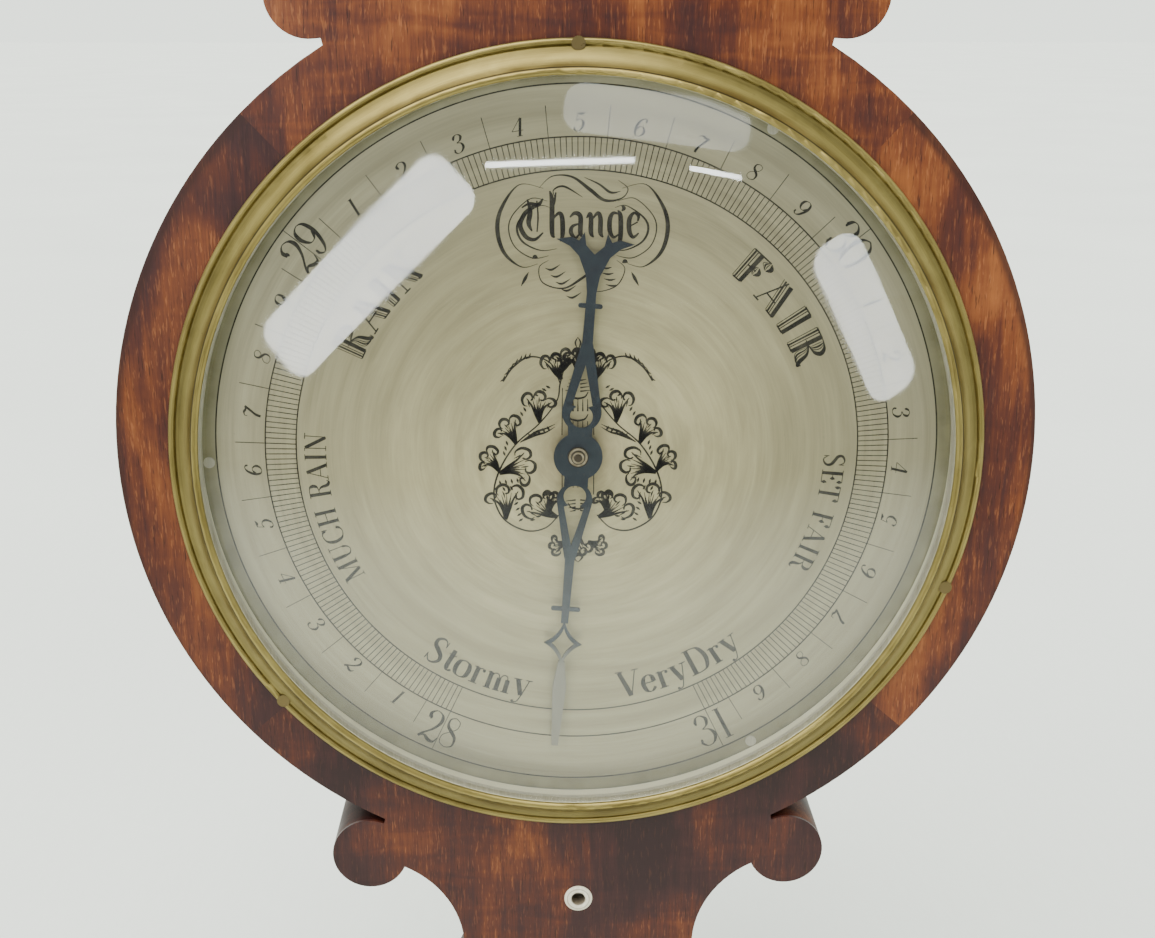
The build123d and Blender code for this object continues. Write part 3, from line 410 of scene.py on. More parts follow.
def glass(name, tint=(1.0, 1.0, 1.0), straight_on=0.04):
    """Clear glass: what it mirrors grows with the angle, and the rest is seen straight through."""
    pane = Finish(name, metal=1.0, rough=0.015, colour=(1.0, 1.0, 1.0))
    clear = pane.add("ShaderNodeBsdfTransparent")
    clear.inputs[0].default_value = (*tint, 1)
    slant = pane.add("ShaderNodeLayerWeight")
    slant.inputs["Blend"].default_value = 0.5
    grazing = pane.sum("POWER", slant.outputs["Facing"], 5.0)
    share = pane.sum("ADD", pane.sum("MULTIPLY", grazing, 1.0 - straight_on), straight_on)
    both = pane.add("ShaderNodeMixShader")
    pane.plug(share, both.inputs[0])
    pane.plug(clear.outputs[0], both.inputs[1])
    pane.plug(pane.shader.outputs[0], both.inputs[2])
    smear = pane.noise(26.0, 3.0)
    pane.roughness(pane.spread(smear, 0.3, 0.7, 0.012, 0.05))
    pane.plug(both.outputs[0], pane.output.inputs["Surface"])
    return pane


def mercury_metal():
    drop = Finish("mercury_metal", metal=1.0, rough=0.06)
    haze = drop.noise(160.0, 3.0)
    drop.colour(drop.ramp(haze, (0.3, (0.62, 0.63, 0.65)), (0.7, (0.78, 0.79, 0.80))))
    return drop


def bone():
    bush = Finish("old_bone", rough=0.38)
    low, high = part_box("bone_key_bush")
    length, _ = bush.around(low[2] / 2 + high[2] / 2)
    grain = bush.noise(1.0, 3.0, bush.turned(stretch=(900, 900, 300)), 0.6)
    shade = bush.ramp(grain, (0.3, (0.62, 0.55, 0.40)), (0.7, (0.80, 0.75, 0.62)))
    lines = bush.ramp(
        bush.spread(length, 2.0 * MM, 5.6 * MM, 0.0, 1.0),
        (0.16, 0.85), (0.26, 0.0), (0.52, 0.0), (0.60, 0.7), (0.68, 0.0), (0.90, 0.0), (0.97, 0.6),
    )
    bush.colour(bush.mix(lines, shade, (0.105, 0.070, 0.038)))
    bush.polish(0.4, 0.2)
    return bush


def cork_finish():
    cork = Finish("cork", rough=0.85)
    cells = cork.noise(700.0, 4.0, rough=0.7)
    cork.colour(cork.ramp(cells, (0.36, (0.13, 0.065, 0.03)), (0.62, (0.42, 0.26, 0.13))))
    cork.relief(cells, 0.5, 0.0004)
    return cork


def silk():
    thread = Finish("silk_cord", rough=0.7)
    twist = thread.noise(1.0, 2.0, thread.turned((0, 0.5, 0), (3000, 3000, 900)), 0.5)
    thread.colour(thread.ramp(twist, (0.35, (0.10, 0.085, 0.05)), (0.65, (0.24, 0.20, 0.13))))
    return thread


def engraving_wax(name, shade, worn):
    wax = Finish(name, rough=0.6)
    wax.shader.inputs["Specular IOR Level"].default_value = 0.1
    wear = wax.noise(260.0, 4.0, rough=0.65)
    wax.colour(wax.ramp(wear, (0.42, shade), (0.74, worn)))
    wax.relief(wear, 0.15, 0.0001)
    return wax


WOOD_CASE = mahogany("case_sides_mahogany", 0.0, -0.02, 0.62, 0.1, gloss=0.15)
FINISHES = {
    "stained_pine": WOOD_CASE,
    "mahogany_veneer": mahogany("polished_mahogany", 0.0, 0.02),
    "aged_brass": brass("aged_brass", (0.36, 0.28, 0.105), (0.15, 0.108, 0.042)),
    "dial_glass": glass("crown_glass"),
    "silvered_brass": silvered_strip("silvered_strip"),
    "blued_steel": steel("blued_steel", (0.046, 0.060, 0.072), (0.030, 0.038, 0.047), 0.36, blue=True),
    "bone": bone(),
    "cord": silk(),
    "steel": steel("dark_steel", (0.30, 0.29, 0.27), (0.14, 0.13, 0.115), 0.36),
    "clear_glass": glass("tube_glass", (0.97, 0.99, 0.98)),
    "mercury": mercury_metal(),
    "cork": cork_finish(),
    "bare_pine": softwood("bare_pine", (0.30, 0.170, 0.072), (0.13, 0.064, 0.026)),
}
OWN_FINISH = {
    "veneer_neck": mahogany("flame_mahogany_neck", 0.35, 0.055, 1.0, 0.9),
    "veneer_tail": mahogany("flame_mahogany_tail", -0.30, -0.008, 0.88, 0.7),
    # The round's side veneers carry a painted shadow along their outer edge.
    "veneer_left": bordered(mahogany("side_mahogany_left", 0.10, 0.004, 0.94, 0.3), ROUND_RADIUS),
    "veneer_right": bordered(mahogany("side_mahogany_right", -0.10, 0.075, 1.0, 0.3), ROUND_RADIUS),
    "bezel_ring": bezel_brass(),
    "dial_plate": silvered_dial(),
    # The glass retaining ring takes the pale silvered strip finish as a painted reflection, like the bezel's
    # inner wall.
    "glass_retaining_ring": silvered_strip("retaining_ring_painted_reflection"),
    "bezel_screws": brass("dark_brass", (0.17, 0.128, 0.052), (0.075, 0.052, 0.022)),
    "rosettes": brass("gilt_brass", (0.55, 0.42, 0.18), (0.30, 0.21, 0.08), 0.28),
}
# The hand's tail carries a painted reflection.
OWN_FINISH["pointer_hand"] = worn_hand()
OWN_FINISH["pointer_collet"] = turned_collet()
OWN_FINISH["pointer_arbor"] = steel("brown_steel", (0.085, 0.066, 0.044), (0.045, 0.034, 0.022), 0.42)
ENGRAVED = engraving_wax("engraving_wax", (0.013, 0.012, 0.008), (0.055, 0.051, 0.036))
ENGRAVED_THIN = engraving_wax("thin_engraving_wax", (0.026, 0.024, 0.017), (0.10, 0.094, 0.068))

for part in frame["record"]["subparts"]:
    node = frame["nodes"][part["node"]]
    finish = OWN_FINISH.get(part["node"], FINISHES[part["material_slot"]])
    for slot in node.material_slots:
        slot.material = finish.material


# ---------------------------------------------------------------- pieces
def placed(name, data):
    """A new object of the scene that holds the data."""
    holder = bpy.data.objects.new(name, data)
    bpy.context.scene.collection.objects.link(holder)
    return holder


def finished(name, mesh, material, body="case", smooth=False):
    piece = placed(name, mesh)
    mesh.materials.clear()
    mesh.materials.append(material)
    for face in mesh.polygons:
        face.use_smooth = smooth
    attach(piece, body)
    return piece


def lathe(name, profile, turns=256):
    """A closed outline of (radius, depth) points, turned round the dial's axis."""
    shape = bmesh.new()
    rings = []
    for radius, depth in profile:
        ring = []
        for step in range(turns):
            angle = 2 * math.pi * step / turns
            ring.append(shape.verts.new((radius * math.cos(angle), -depth,
                    DIAL_HEIGHT + radius * math.sin(angle))))
        rings.append(ring)
    for first, second in zip(rings, rings[1:] + rings[:1]):
        for step in range(turns):
            after = (step + 1) % turns
            shape.faces.new((first[step], first[after], second[after], second[step]))
    bmesh.ops.recalc_face_normals(shape, faces=shape.faces)
    mesh = bpy.data.meshes.new(name)
    shape.to_mesh(mesh)
    shape.free()
    return mesh


def dome(radius, edge_depth, rise):
    ball = (GLASS_OUTER ** 2 + rise ** 2) / (2 * rise)
    return edge_depth + math.sqrt(ball ** 2 - radius ** 2) - (ball - rise)


def glass_shell():
    """The domed glass: two ball surfaces closed by a ground edge."""
    steps = 40
    hub = 0.02 * MM
    radii = [hub + (GLASS_OUTER - hub) * math.sin(math.pi / 2 * n / steps) for n in range(steps + 1)]
    outside = [(r, dome(r, GLASS_EDGE_DEPTH, GLASS_RISE)) for r in radii]
    inside = [(r, dome(r, GLASS_EDGE_DEPTH - GLASS_THICKNESS, GLASS_RISE)) for r in reversed(radii)]
    return outside + inside


glass_piece = finished("domed_glass", lathe("domed_glass", glass_shell()), FINISHES["dial_glass"].material,
                       smooth=True)
glass_piece.data.set_sharp_from_angle(angle=math.radians(30))
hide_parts("dial_glass")


# ---------------------------------------------------------------- engraving
def smooth_path(points, steps=7):
    """A curve through the points, which are (x, y, width)."""
    if len(points) < 3:
        return list(points)
    padded = [points[0]] + list(points) + [points[-1]]
    path = []
    for a, b, c, d in zip(padded, padded[1:], padded[2:], padded[3:]):
        for step in range(steps):
            t = step / steps
            path.append(tuple(
                0.5 * (2 * q + (r - p) * t + (2 * p - 5 * q + 4 * r - s) * t * t
                       + (3 * q - p - 3 * r + s) * t ** 3)
                for p, q, r, s in zip(a, b, c, d)))
    path.append(tuple(points[-1]))
    return path


class Engraver:
    """Collects pen strokes in millimetres about the dial's centre and makes them one thin mesh."""

    def __init__(self, face_depth=DIAL_FACE, height=DIAL_HEIGHT):
        self.face_depth = face_depth
        self.height = height
        self.shape = bmesh.new()

    def stroke(self, path, place=lambda x, y: (x, y)):
        left, right = [], []
        for number, (x, y, width) in enumerate(path):
            x0, y0, _ = path[max(number - 1, 0)]
            x1, y1, _ = path[min(number + 1, len(path) - 1)]
            run = math.hypot(x1 - x0, y1 - y0) or 1.0
            across, along = -(y1 - y0) / run, (x1 - x0) / run
            half = max(width, 0.02) / 2
            left.append(place(x + across * half, y + along * half))
            right.append(place(x - across * half, y - along * half))
        self.prism(left + right[::-1], len(path))

    def prism(self, outline, count):
        top = [self.vertex(x, y, INK_RISE) for x, y in outline]
        foot = [self.vertex(x, y, -INK_SUNK) for x, y in outline]
        total = len(outline)
        for n in range(count - 1):
            m = total - 1 - n
            self.shape.faces.new((top[n], top[n + 1], top[m - 1], top[m]))
            self.shape.faces.new((foot[m], foot[m - 1], foot[n + 1], foot[n]))
        for n in range(total):
            after = (n + 1) % total
            self.shape.faces.new((top[after], top[n], foot[n], foot[after]))

    def vertex(self, x, y, rise):
        return self.shape.verts.new((x * MM, -(self.face_depth + rise), self.height + y * MM))

    def done(self, name, material):
        bmesh.ops.recalc_face_normals(self.shape, faces=self.shape.faces)
        mesh = bpy.data.meshes.new(name)
        self.shape.to_mesh(mesh)
        self.shape.free()
        return finished(name, mesh, material)


THIN, THICK = 0.040, 0.175


def pairs(numbers):
    """Points from a run of x, y, x, y numbers, in hundredths of the letter's height."""
    return [(x / 100, y / 100) for x, y in zip(numbers[::2], numbers[1::2])]


def hair(*numbers):
    """A fine straight or curved line of the letter."""
    return smooth_path([(x, y, THIN) for x, y in pairs(numbers)], 6)


def stem(*numbers):
    """A heavy straight line of the letter."""
    return [(x, y, THICK) for x, y in pairs(numbers)]


def pen(*numbers, heavy=THICK):
    """A broad pen held level: heavy where the curve runs up or down, fine where it runs across."""
    path = smooth_path([(x, y, 0.0) for x, y in pairs(numbers)], 6)
    written = []
    for number, (x, y, _) in enumerate(path):
        x0, y0, _ = path[max(number - 1, 0)]
        x1, y1, _ = path[min(number + 1, len(path) - 1)]
        run = math.hypot(x1 - x0, y1 - y0) or 1.0
        lean = abs(y1 - y0) / run
        written.append((x, y, THIN + (heavy - THIN) * lean ** 2.2))
    return written


def spine(*numbers):
    """A curve whose middle is heavy and whose ends are fine."""
    path = smooth_path([(x, y, 0.0) for x, y in pairs(numbers)], 6)
    last = len(path) - 1
    return [(x, y, THIN + (THICK - THIN) * math.sin(math.pi * n / last) ** 2)
            for n, (x, y, _) in enumerate(path)]


def drop(x, y, size=0.13):
    """The round end of a stroke."""
    return [(x, y - size / 2, 0.03), (x, y - size / 4, size * 0.9), (x, y + size / 4, size * 0.9),
            (x, y + size / 2, 0.03)]


def foot(x, y=0.0, half=0.15):
    """The short level line that a stem stands on or hangs from."""
    return [(x - half, y, THIN), (x + half, y, THIN)]


LETTERS = {
    "C": (0.86, [pen(76, 80, 66, 96, 46, 100, 20, 86, 9, 50, 20, 13, 48, 0, 70, 7, 80, 25),
        hair(78, 99, 77, 70)]),
    "F": (0.74, [stem(22, 0, 22, 100), hair(6, 100, 70, 100), spine(70, 100, 68, 86, 70, 72),
        hair(22, 52, 52, 52), spine(52, 66, 50, 52, 52, 38), foot(0.22)]),
    "A": (0.92, [hair(10, 0, 45, 100), stem(44, 98, 78, 0), hair(22, 33, 66, 33), foot(0.11, half=0.12),
        foot(0.78, half=0.16)]),
    "I": (0.44, [stem(22, 0, 22, 100), foot(0.22), foot(0.22, 1.0)]),
    "R": (0.86, [stem(22, 0, 22, 100), hair(6, 100, 40, 100), pen(38, 100, 58, 96, 66, 78, 58, 60, 38, 54,
        22, 54), spine(40, 54, 56, 40, 64, 10, 80, 0, 88, 10), foot(0.22)]),
    "N": (0.94, [hair(18, 0, 18, 100), stem(20, 98, 74, 2), hair(76, 0, 76, 100), hair(4, 100, 20, 100),
        foot(0.18, half=0.13), foot(0.76, 1.0, 0.14)]),
    "S": (0.68, [spine(54, 80, 46, 97, 30, 100, 13, 88, 15, 68, 33, 54, 52, 38, 56, 18, 42, 2, 24, 0, 10,
        20), hair(56, 99, 55, 74), hair(9, 1, 10, 26)]),
    "E": (0.76, [stem(22, 0, 22, 100), hair(6, 100, 66, 100), hair(6, 0, 70, 0),
        spine(66, 100, 64, 87, 66, 74), spine(70, 0, 68, 13, 70, 27), hair(22, 52, 50, 52),
        spine(50, 64, 48, 52, 50, 40)]),
    "T": (0.80, [stem(40, 0, 40, 100), hair(4, 100, 76, 100), spine(4, 100, 7, 86, 4, 72),
        spine(76, 100, 73, 86, 76, 72), foot(0.40)]),
    "M": (1.10, [hair(16, 0, 20, 100), stem(20, 98, 52, 4), hair(54, 2, 88, 100), stem(90, 0, 90, 100),
        hair(5, 100, 22, 100), foot(0.16, half=0.12), hair(86, 100, 105, 100), foot(0.92)]),
    "U": (0.92, [stem(22, 100, 22, 34), pen(22, 34, 26, 10, 46, 0, 64, 10, 72, 34, heavy=0.11),
        hair(72, 34, 72, 100), foot(0.22, 1.0), foot(0.72, 1.0, 0.12)]),
    "H": (0.98, [stem(22, 0, 22, 100), stem(74, 0, 74, 100), hair(22, 52, 74, 52), foot(0.22),
        foot(0.22, 1.0), foot(0.74), foot(0.74, 1.0)]),
    "V": (0.88, [stem(14, 98, 44, 2), hair(46, 2, 76, 100), foot(0.14, 1.0), foot(0.76, 1.0, 0.13)]),
    "D": (0.92, [stem(22, 0, 22, 100), hair(6, 100, 40, 100), hair(6, 0, 40, 0),
        pen(38, 100, 66, 92, 80, 50, 66, 8, 38, 0)]),
    "t": (0.42, [pen(20, 84, 20, 62, 20, 16, 28, 1, 40, 8), hair(6, 64, 36, 64)]),
    "o": (0.62, [pen(30, 66, 12, 58, 6, 33, 12, 8, 30, 0, 48, 8, 54, 33, 48, 58, 30, 66)]),
    "r": (0.52, [stem(18, 0, 18, 64), foot(0.18), hair(4, 62, 18, 66), hair(18, 46, 26, 60, 38, 64),
        drop(0.42, 0.57)]),
    "m": (1.00, [stem(16, 0, 16, 64), stem(48, 0, 48, 50), stem(80, 0, 80, 50), foot(0.16, half=0.13),
        foot(0.48, half=0.12), foot(0.80, half=0.14), hair(3, 62, 16, 66),
        hair(18, 48, 30, 64, 44, 62, 48, 48), hair(50, 48, 62, 64, 76, 62, 80, 48)]),
    "y": (0.64, [stem(14, 64, 34, 4), hair(56, 64, 36, 2, 26, -22, 14, -28), drop(0.11, -0.24, 0.11),
        foot(0.14, 0.65), foot(0.56, 0.65, 0.12)]),
    "e": (0.56, [hair(8, 36, 46, 36), pen(46, 36, 42, 58, 28, 66, 12, 56, 6, 32, 14, 6, 30, 0, 46, 14)]),
    "0": (0.74, [pen(37, 100, 16, 86, 8, 50, 16, 14, 37, 0, 58, 14, 66, 50, 58, 86, 37, 100)]),
    "1": (0.46, [stem(24, 0, 24, 100), foot(0.24), foot(0.22, 1.0, 0.13)]),
    "2": (0.78, [pen(16, 72, 14, 88, 32, 100, 56, 92, 62, 70, 46, 42, 20, 18, 8, 2),
        spine(8, 2, 26, 12, 46, 2, 64, 2, 72, 18), drop(0.20, 0.74)]),
    "3": (0.76, [pen(14, 80, 24, 97, 42, 100, 58, 86, 52, 66, 32, 56), drop(0.16, 0.80),
        pen(32, 56, 56, 48, 66, 26, 52, 4, 28, 0, 10, 16), drop(0.14, 0.20)]),
    "4": (0.78, [hair(50, 100, 6, 30), hair(6, 30, 72, 30), stem(52, 0, 52, 98), foot(0.52, half=0.16)]),
    "5": (0.72, [hair(20, 100, 16, 56), spine(20, 97, 40, 94, 58, 102),
        pen(16, 56, 36, 64, 56, 52, 60, 28, 46, 4, 26, 0, 10, 14), drop(0.14, 0.17)]),
    "6": (0.74, [pen(58, 88, 42, 100, 20, 84, 8, 44, 16, 10, 36, 0, 56, 12, 60, 34, 44, 54, 26, 52, 12, 36),
        drop(0.56, 0.86)]),
    "7": (0.70, [spine(8, 94, 26, 100, 44, 92, 62, 98), hair(8, 98, 8, 78),
        pen(62, 98, 44, 58, 30, 28, 28, 0)]),
    "8": (0.74, [spine(36, 100, 18, 90, 20, 68, 38, 54, 58, 36, 58, 10, 36, 0),
        hair(36, 0, 14, 10, 12, 34, 34, 52, 54, 68, 56, 90, 36, 100)]),
    "9": (0.74, [pen(60, 62, 46, 44, 26, 44, 12, 66, 16, 90, 36, 100, 56, 90, 64, 56, 52, 16, 32, 0, 14,
        12), drop(0.17, 0.15)]),
    " ": (0.40, []),
}


def word_width(word, spacing):
    return sum(LETTERS[letter][0] for letter in word) + spacing * (len(word) - 1)


def letter_paths(word, spacing, lean=0.0):
    """Every stroke of a word, set about its own middle, for a letter height of one."""
    at = -word_width(word, spacing) / 2
    for letter in word:
        width, strokes = LETTERS[letter]
        for path in strokes:
            yield [(at + x + lean * y, y, w) for x, y, w in path]
        at += width + spacing


def on_arc(middle, radius, tall, tops_out=True):
    """Bends level writing round the dial: middle is in degrees anticlockwise from the right."""
    def place(x, y):
        rise = (y - 0.5) * tall
        if tops_out:
            angle = math.radians(middle) - x * tall / radius
            reach = radius + rise
        else:
            angle = math.radians(middle) + x * tall / radius
            reach = radius - rise
        return reach * math.cos(angle), reach * math.sin(angle)
    return place


def write(engraver, word, middle, radius, tall, tops_out=True, spacing=0.06, lean=0.0, weight=1.0,
        squeeze=1.0):
    arc = on_arc(middle, radius, tall, tops_out)
    for path in letter_paths(word, spacing, lean):
        engraver.stroke(to_millimetres([(x * squeeze, y, w * weight) for x, y, w in path], tall),
                unscaled(arc, tall))


def to_millimetres(path, tall):
    return [(x * tall, y * tall, w * tall) for x, y, w in path]


def unscaled(place, tall):
    return lambda x, y: place(x / tall, y / tall)


# The scale runs clockwise from 28 inches.  Radii, letter heights and line widths are in millimetres.
LOWEST_INCH, HIGHEST_INCH = 28, 31
FIRST_MARK_TURN = 205.5
DEGREES_PER_INCH = 103.0
MARKS_INNER, MARKS_OUTER, BORDER_RING = 99.0, 109.8, 127.0
INCH_NUMERAL_RADIUS, INCH_NUMERAL_TALL, INCH_DIGIT_GAP = 118.0, 12.6, 3.6
TENTH_FIGURE_RADIUS, TENTH_FIGURE_TALL = 114.6, 5.9


def scale_angle(inches):
    """Where a reading stands, in degrees anticlockwise from the right."""
    return 90.0 - (FIRST_MARK_TURN + DEGREES_PER_INCH * (inches - LOWEST_INCH))


def tops_outward(inches):
    """Numerals along the top of the dial stand on the scale; those along its foot hang from it."""
    return 28.45 < inches < 30.45


numerals = Engraver()
for inches in range(LOWEST_INCH, HIGHEST_INCH + 1):
    middle = scale_angle(inches)
    outward = tops_outward(inches)
    low, high = str(inches)
    side = -1 if outward else 1
    for digit, shift in ((low, -INCH_DIGIT_GAP), (high, INCH_DIGIT_GAP)):
        angle = middle + side * math.degrees(shift / INCH_NUMERAL_RADIUS)
        write(numerals, digit, angle, INCH_NUMERAL_RADIUS, INCH_NUMERAL_TALL, outward,
              weight=0.62, squeeze=0.82)
for tenth in range(1, 30):
    if tenth % 10:
        reading = LOWEST_INCH + tenth / 10
        write(numerals, str(tenth % 10), scale_angle(reading), TENTH_FIGURE_RADIUS, TENTH_FIGURE_TALL,
              tops_outward(reading), lean=0.18, weight=0.85)
numerals.done("scale_numerals", ENGRAVED.material)

words = Engraver()
write(words, "MUCH RAIN", 192.6, 92.4, 7.4, spacing=0.04, weight=0.92)
write(words, "SET FAIR", -14.6, 91.0, 7.4, spacing=0.08, weight=0.92)
write(words, "Stormy", 246.1, 90.6, 10.2, False, spacing=0.02, weight=0.95)
write(words, "VeryDry", 294.3, 90.6, 10.2, False, spacing=0.0, weight=0.95)
words.done("weather_words", ENGRAVED.material)


def shaded_capitals(engraver, word, middle, radius, tall, weight, spacing):
    """Fat capitals with an open face: each heavy stroke is a dark edge beside fine cut lines."""
    arc = on_arc(middle, radius, tall)
    for path in letter_paths(word, spacing):
        wide = max(w for _, _, w in path)
        scaled = to_millimetres(path, tall)
        if wide < 0.10:
            engraver.stroke([(x, y, w * 1.15) for x, y, w in scaled], unscaled(arc, tall))
            continue
        for shift, share in ((0.62, 0.62), (-0.05, 0.13), (-0.42, 0.26), (-0.80, 0.10)):
            moved = [(x + shift * w * weight, y, w * weight * share) for x, y, w in scaled]
            engraver.stroke(moved, unscaled(arc, tall))


fat_words = Engraver()
shaded_capitals(fat_words, "RAIN", 142.4, 87.9, 11.2, 1.15, 0.14)
shaded_capitals(fat_words, "FAIR", 36.6, 88.4, 11.6, 1.25, 0.26)
fat_words.done("shaded_weather_words", ENGRAVED.material)


# ---- the gothic word at the top, in a frame of pen flourishes
def quill(*points):
    """A pen line given as (x, y, width) points."""
    return smooth_path(points, 8)


def gothic(engraver, at, base, wide, tall, strokes):
    for points in strokes:
        engraver.stroke([(at + x * wide, base + y * tall, w * wide) for x, y, w in points])


def nib(*numbers):
    """A pen line from a run of x, y, width numbers, in hundredths of the letter's size."""
    return quill(*[tuple(value / 100 for value in point)
                   for point in zip(numbers[::3], numbers[1::3], numbers[2::3])])


N, W = 5, 17
GOTHIC = {
    "C": (1.02, [nib(72, 98, N, 50, 86, 12, 24, 66, 16, 10, 34, 17, 30, 2, 16, 62, -6, 12, 92, 14, N),
        nib(36, 110, N, 46, 76, W, 40, 42, W, 52, 18, N), nib(70, 106, N, 74, 60, 6, 70, 16, N),
        nib(16, 86, N, 44, 98, 10, 74, 94, 15, 92, 112, N)]),
    "h": (0.66, [nib(8, 134, N, 16, 106, W, 16, 16, W, 26, 0, N), nib(30, 130, N, 26, 106, 8, 22, 90, N),
        nib(18, 52, N, 40, 70, 12, 52, 58, W, 54, 12, W, 46, -12, N)]),
    "a": (0.60, [nib(8, 58, N, 26, 70, 14, 46, 60, W, 46, 14, W, 58, 0, N),
        nib(44, 40, N, 18, 32, 12, 12, 14, 16, 28, -2, 10, 44, 12, N)]),
    "n": (0.66, [nib(2, 56, N, 14, 68, 14, 18, 52, W, 18, 14, W, 28, 0, N),
        nib(20, 50, N, 42, 70, 13, 52, 54, W, 52, 14, W, 62, 0, N)]),
    "g": (0.64, [nib(50, 66, N, 26, 70, 12, 14, 52, W, 14, 18, W, 28, 0, 10, 48, 10, N),
        nib(42, 78, N, 52, 60, W, 52, 0, W, 40, -26, 12, 12, -24, N),
        nib(56, 92, 4, 64, 84, 14, 56, 76, 4)]),
    "e": (0.56, [nib(44, 46, N, 46, 62, 12, 30, 70, 10, 14, 52, W, 14, 18, W, 28, 0, 12, 48, 12, N),
        nib(12, 30, N, 44, 44, 5)]),
}
GOTHIC_START, GOTHIC_BASE, GOTHIC_WIDE, GOTHIC_TALL, GOTHIC_GAP = -20.4, 76.4, 9.4, 11.6, 0.06
FRAME_HEIGHT, FRAME_MIDDLE = 79.0, 1.6
change = Engraver()
pen_at = GOTHIC_START
for letter in "Change":
    width, strokes = GOTHIC[letter]
    gothic(change, pen_at, GOTHIC_BASE, GOTHIC_WIDE, GOTHIC_TALL, strokes)
    pen_at += (width + GOTHIC_GAP) * GOTHIC_WIDE


def flourish(engraver, *points, mirror=None):
    """One pen line, and its mirror image about an upright line if one is given."""
    path = quill(*points)
    engraver.stroke(path)
    if mirror is not None:
        engraver.stroke([(2 * mirror - x, y, w) for x, y, w in path])


for reach, top, low, wide in ((30.4, 15.0, -12.6, 1.5), (26.6, 10.4, -9.6, 0.45), (23.8, 8.0, -7.0, 0.8)):
    flourish(change, (12.5 + (reach - 23.8) * 0.35, FRAME_HEIGHT + top * 0.92, 0.14),
            (reach - 7.5, FRAME_HEIGHT + top, 0.3), (reach - 1.6, FRAME_HEIGHT + top * 0.50, wide * 0.8),
            (reach, FRAME_HEIGHT, wide), (reach - 2.2, FRAME_HEIGHT + low * 0.62, wide * 0.8),
            (reach - 8.0, FRAME_HEIGHT + low, 0.35), (reach - 13.5, FRAME_HEIGHT + low * 0.92, 0.14),
            mirror=FRAME_MIDDLE)
flourish(change, (-13.0, 93.0, 0.14), (-8.6, 96.8, 0.35), (-2.0, 96.6, 0.7), (4.0, 92.4, 1.2),
        (9.0, 88.8, 1.0), (14.6, 89.4, 0.45), (16.8, 92.6, 0.35), (13.6, 95.4, 0.14))
flourish(change, (-7.6, 89.4, 0.14), (-8.2, 92.2, 0.4), (-4.6, 93.4, 0.7), (1.6, 89.8, 0.14))
flourish(change, (2.2, 96.4, 0.14), (7.0, 94.2, 0.6), (11.0, 91.4, 0.8), (14.4, 91.8, 0.14))
flourish(change, (-10.0, 68.6, 0.14), (-13.2, 66.2, 0.3), (-12.0, 61.0, 0.4), (-5.0, 59.0, 0.55),
        (1.6, 62.6, 0.9), (6.0, 66.0, 0.35), (10.4, 68.2, 0.14))
flourish(change, (13.2, 68.6, 0.14), (16.0, 65.6, 0.3), (13.6, 60.2, 0.4), (8.4, 58.0, 0.3),
        (4.6, 58.2, 0.14))
for number in range(5):
    x, y = -9.6 + number * 1.8, 66.4 - number * 2.4
    flourish(change, (x - 1.6, y - 0.4, 0.1), (x + 0.6, y - 1.0, 0.75), (x + 3.6, y + 0.8, 0.1))
for number in range(4):
    x, y = 9.4 + number * 0.7, 66.2 - number * 2.0
    flourish(change, (x - 2.0, y + 0.1, 0.1), (x + 0.2, y - 0.4, 0.7), (x + 2.2, y, 0.1))
for x, y in ((-14.6, 69.2), (16.0, 67.6)):
    flourish(change, (x - 0.9, y, 0.15), (x, y + 0.6, 1.5), (x + 1.0, y + 0.1, 0.15))
for side, x in ((-1, -16.8), (1, 18.2)):
    flourish(change, (x, 64.6, 0.12), (x + side * 1.2, 62.4, 1.1), (x + side * 2.6, 59.8, 0.12))
change.done("change_cartouche", ENGRAVED.material)

# ---- the ornament round the hand's centre: a pear-shaped wreath of scalloped leaves
LEAF_LINES = 9
LEAF_SPREAD = 0.34
# How one scallop curls: turn about its middle, line width in millimetres, and reach as a share of the leaf.
SCALLOP = (
    (-2.0, 0.20, 0.17), (-1.3, 0.60, 0.20), (-0.5, 1.05, 0.22), (0.3, 1.20, 0.22), (1.1, 1.00, 0.20),
    (1.9, 0.70, 0.15), (2.6, 0.55, 0.07),
)
ornament = Engraver()


def both_sides(path):
    ornament.stroke(path)
    ornament.stroke([(-x, y, w) for x, y, w in path])


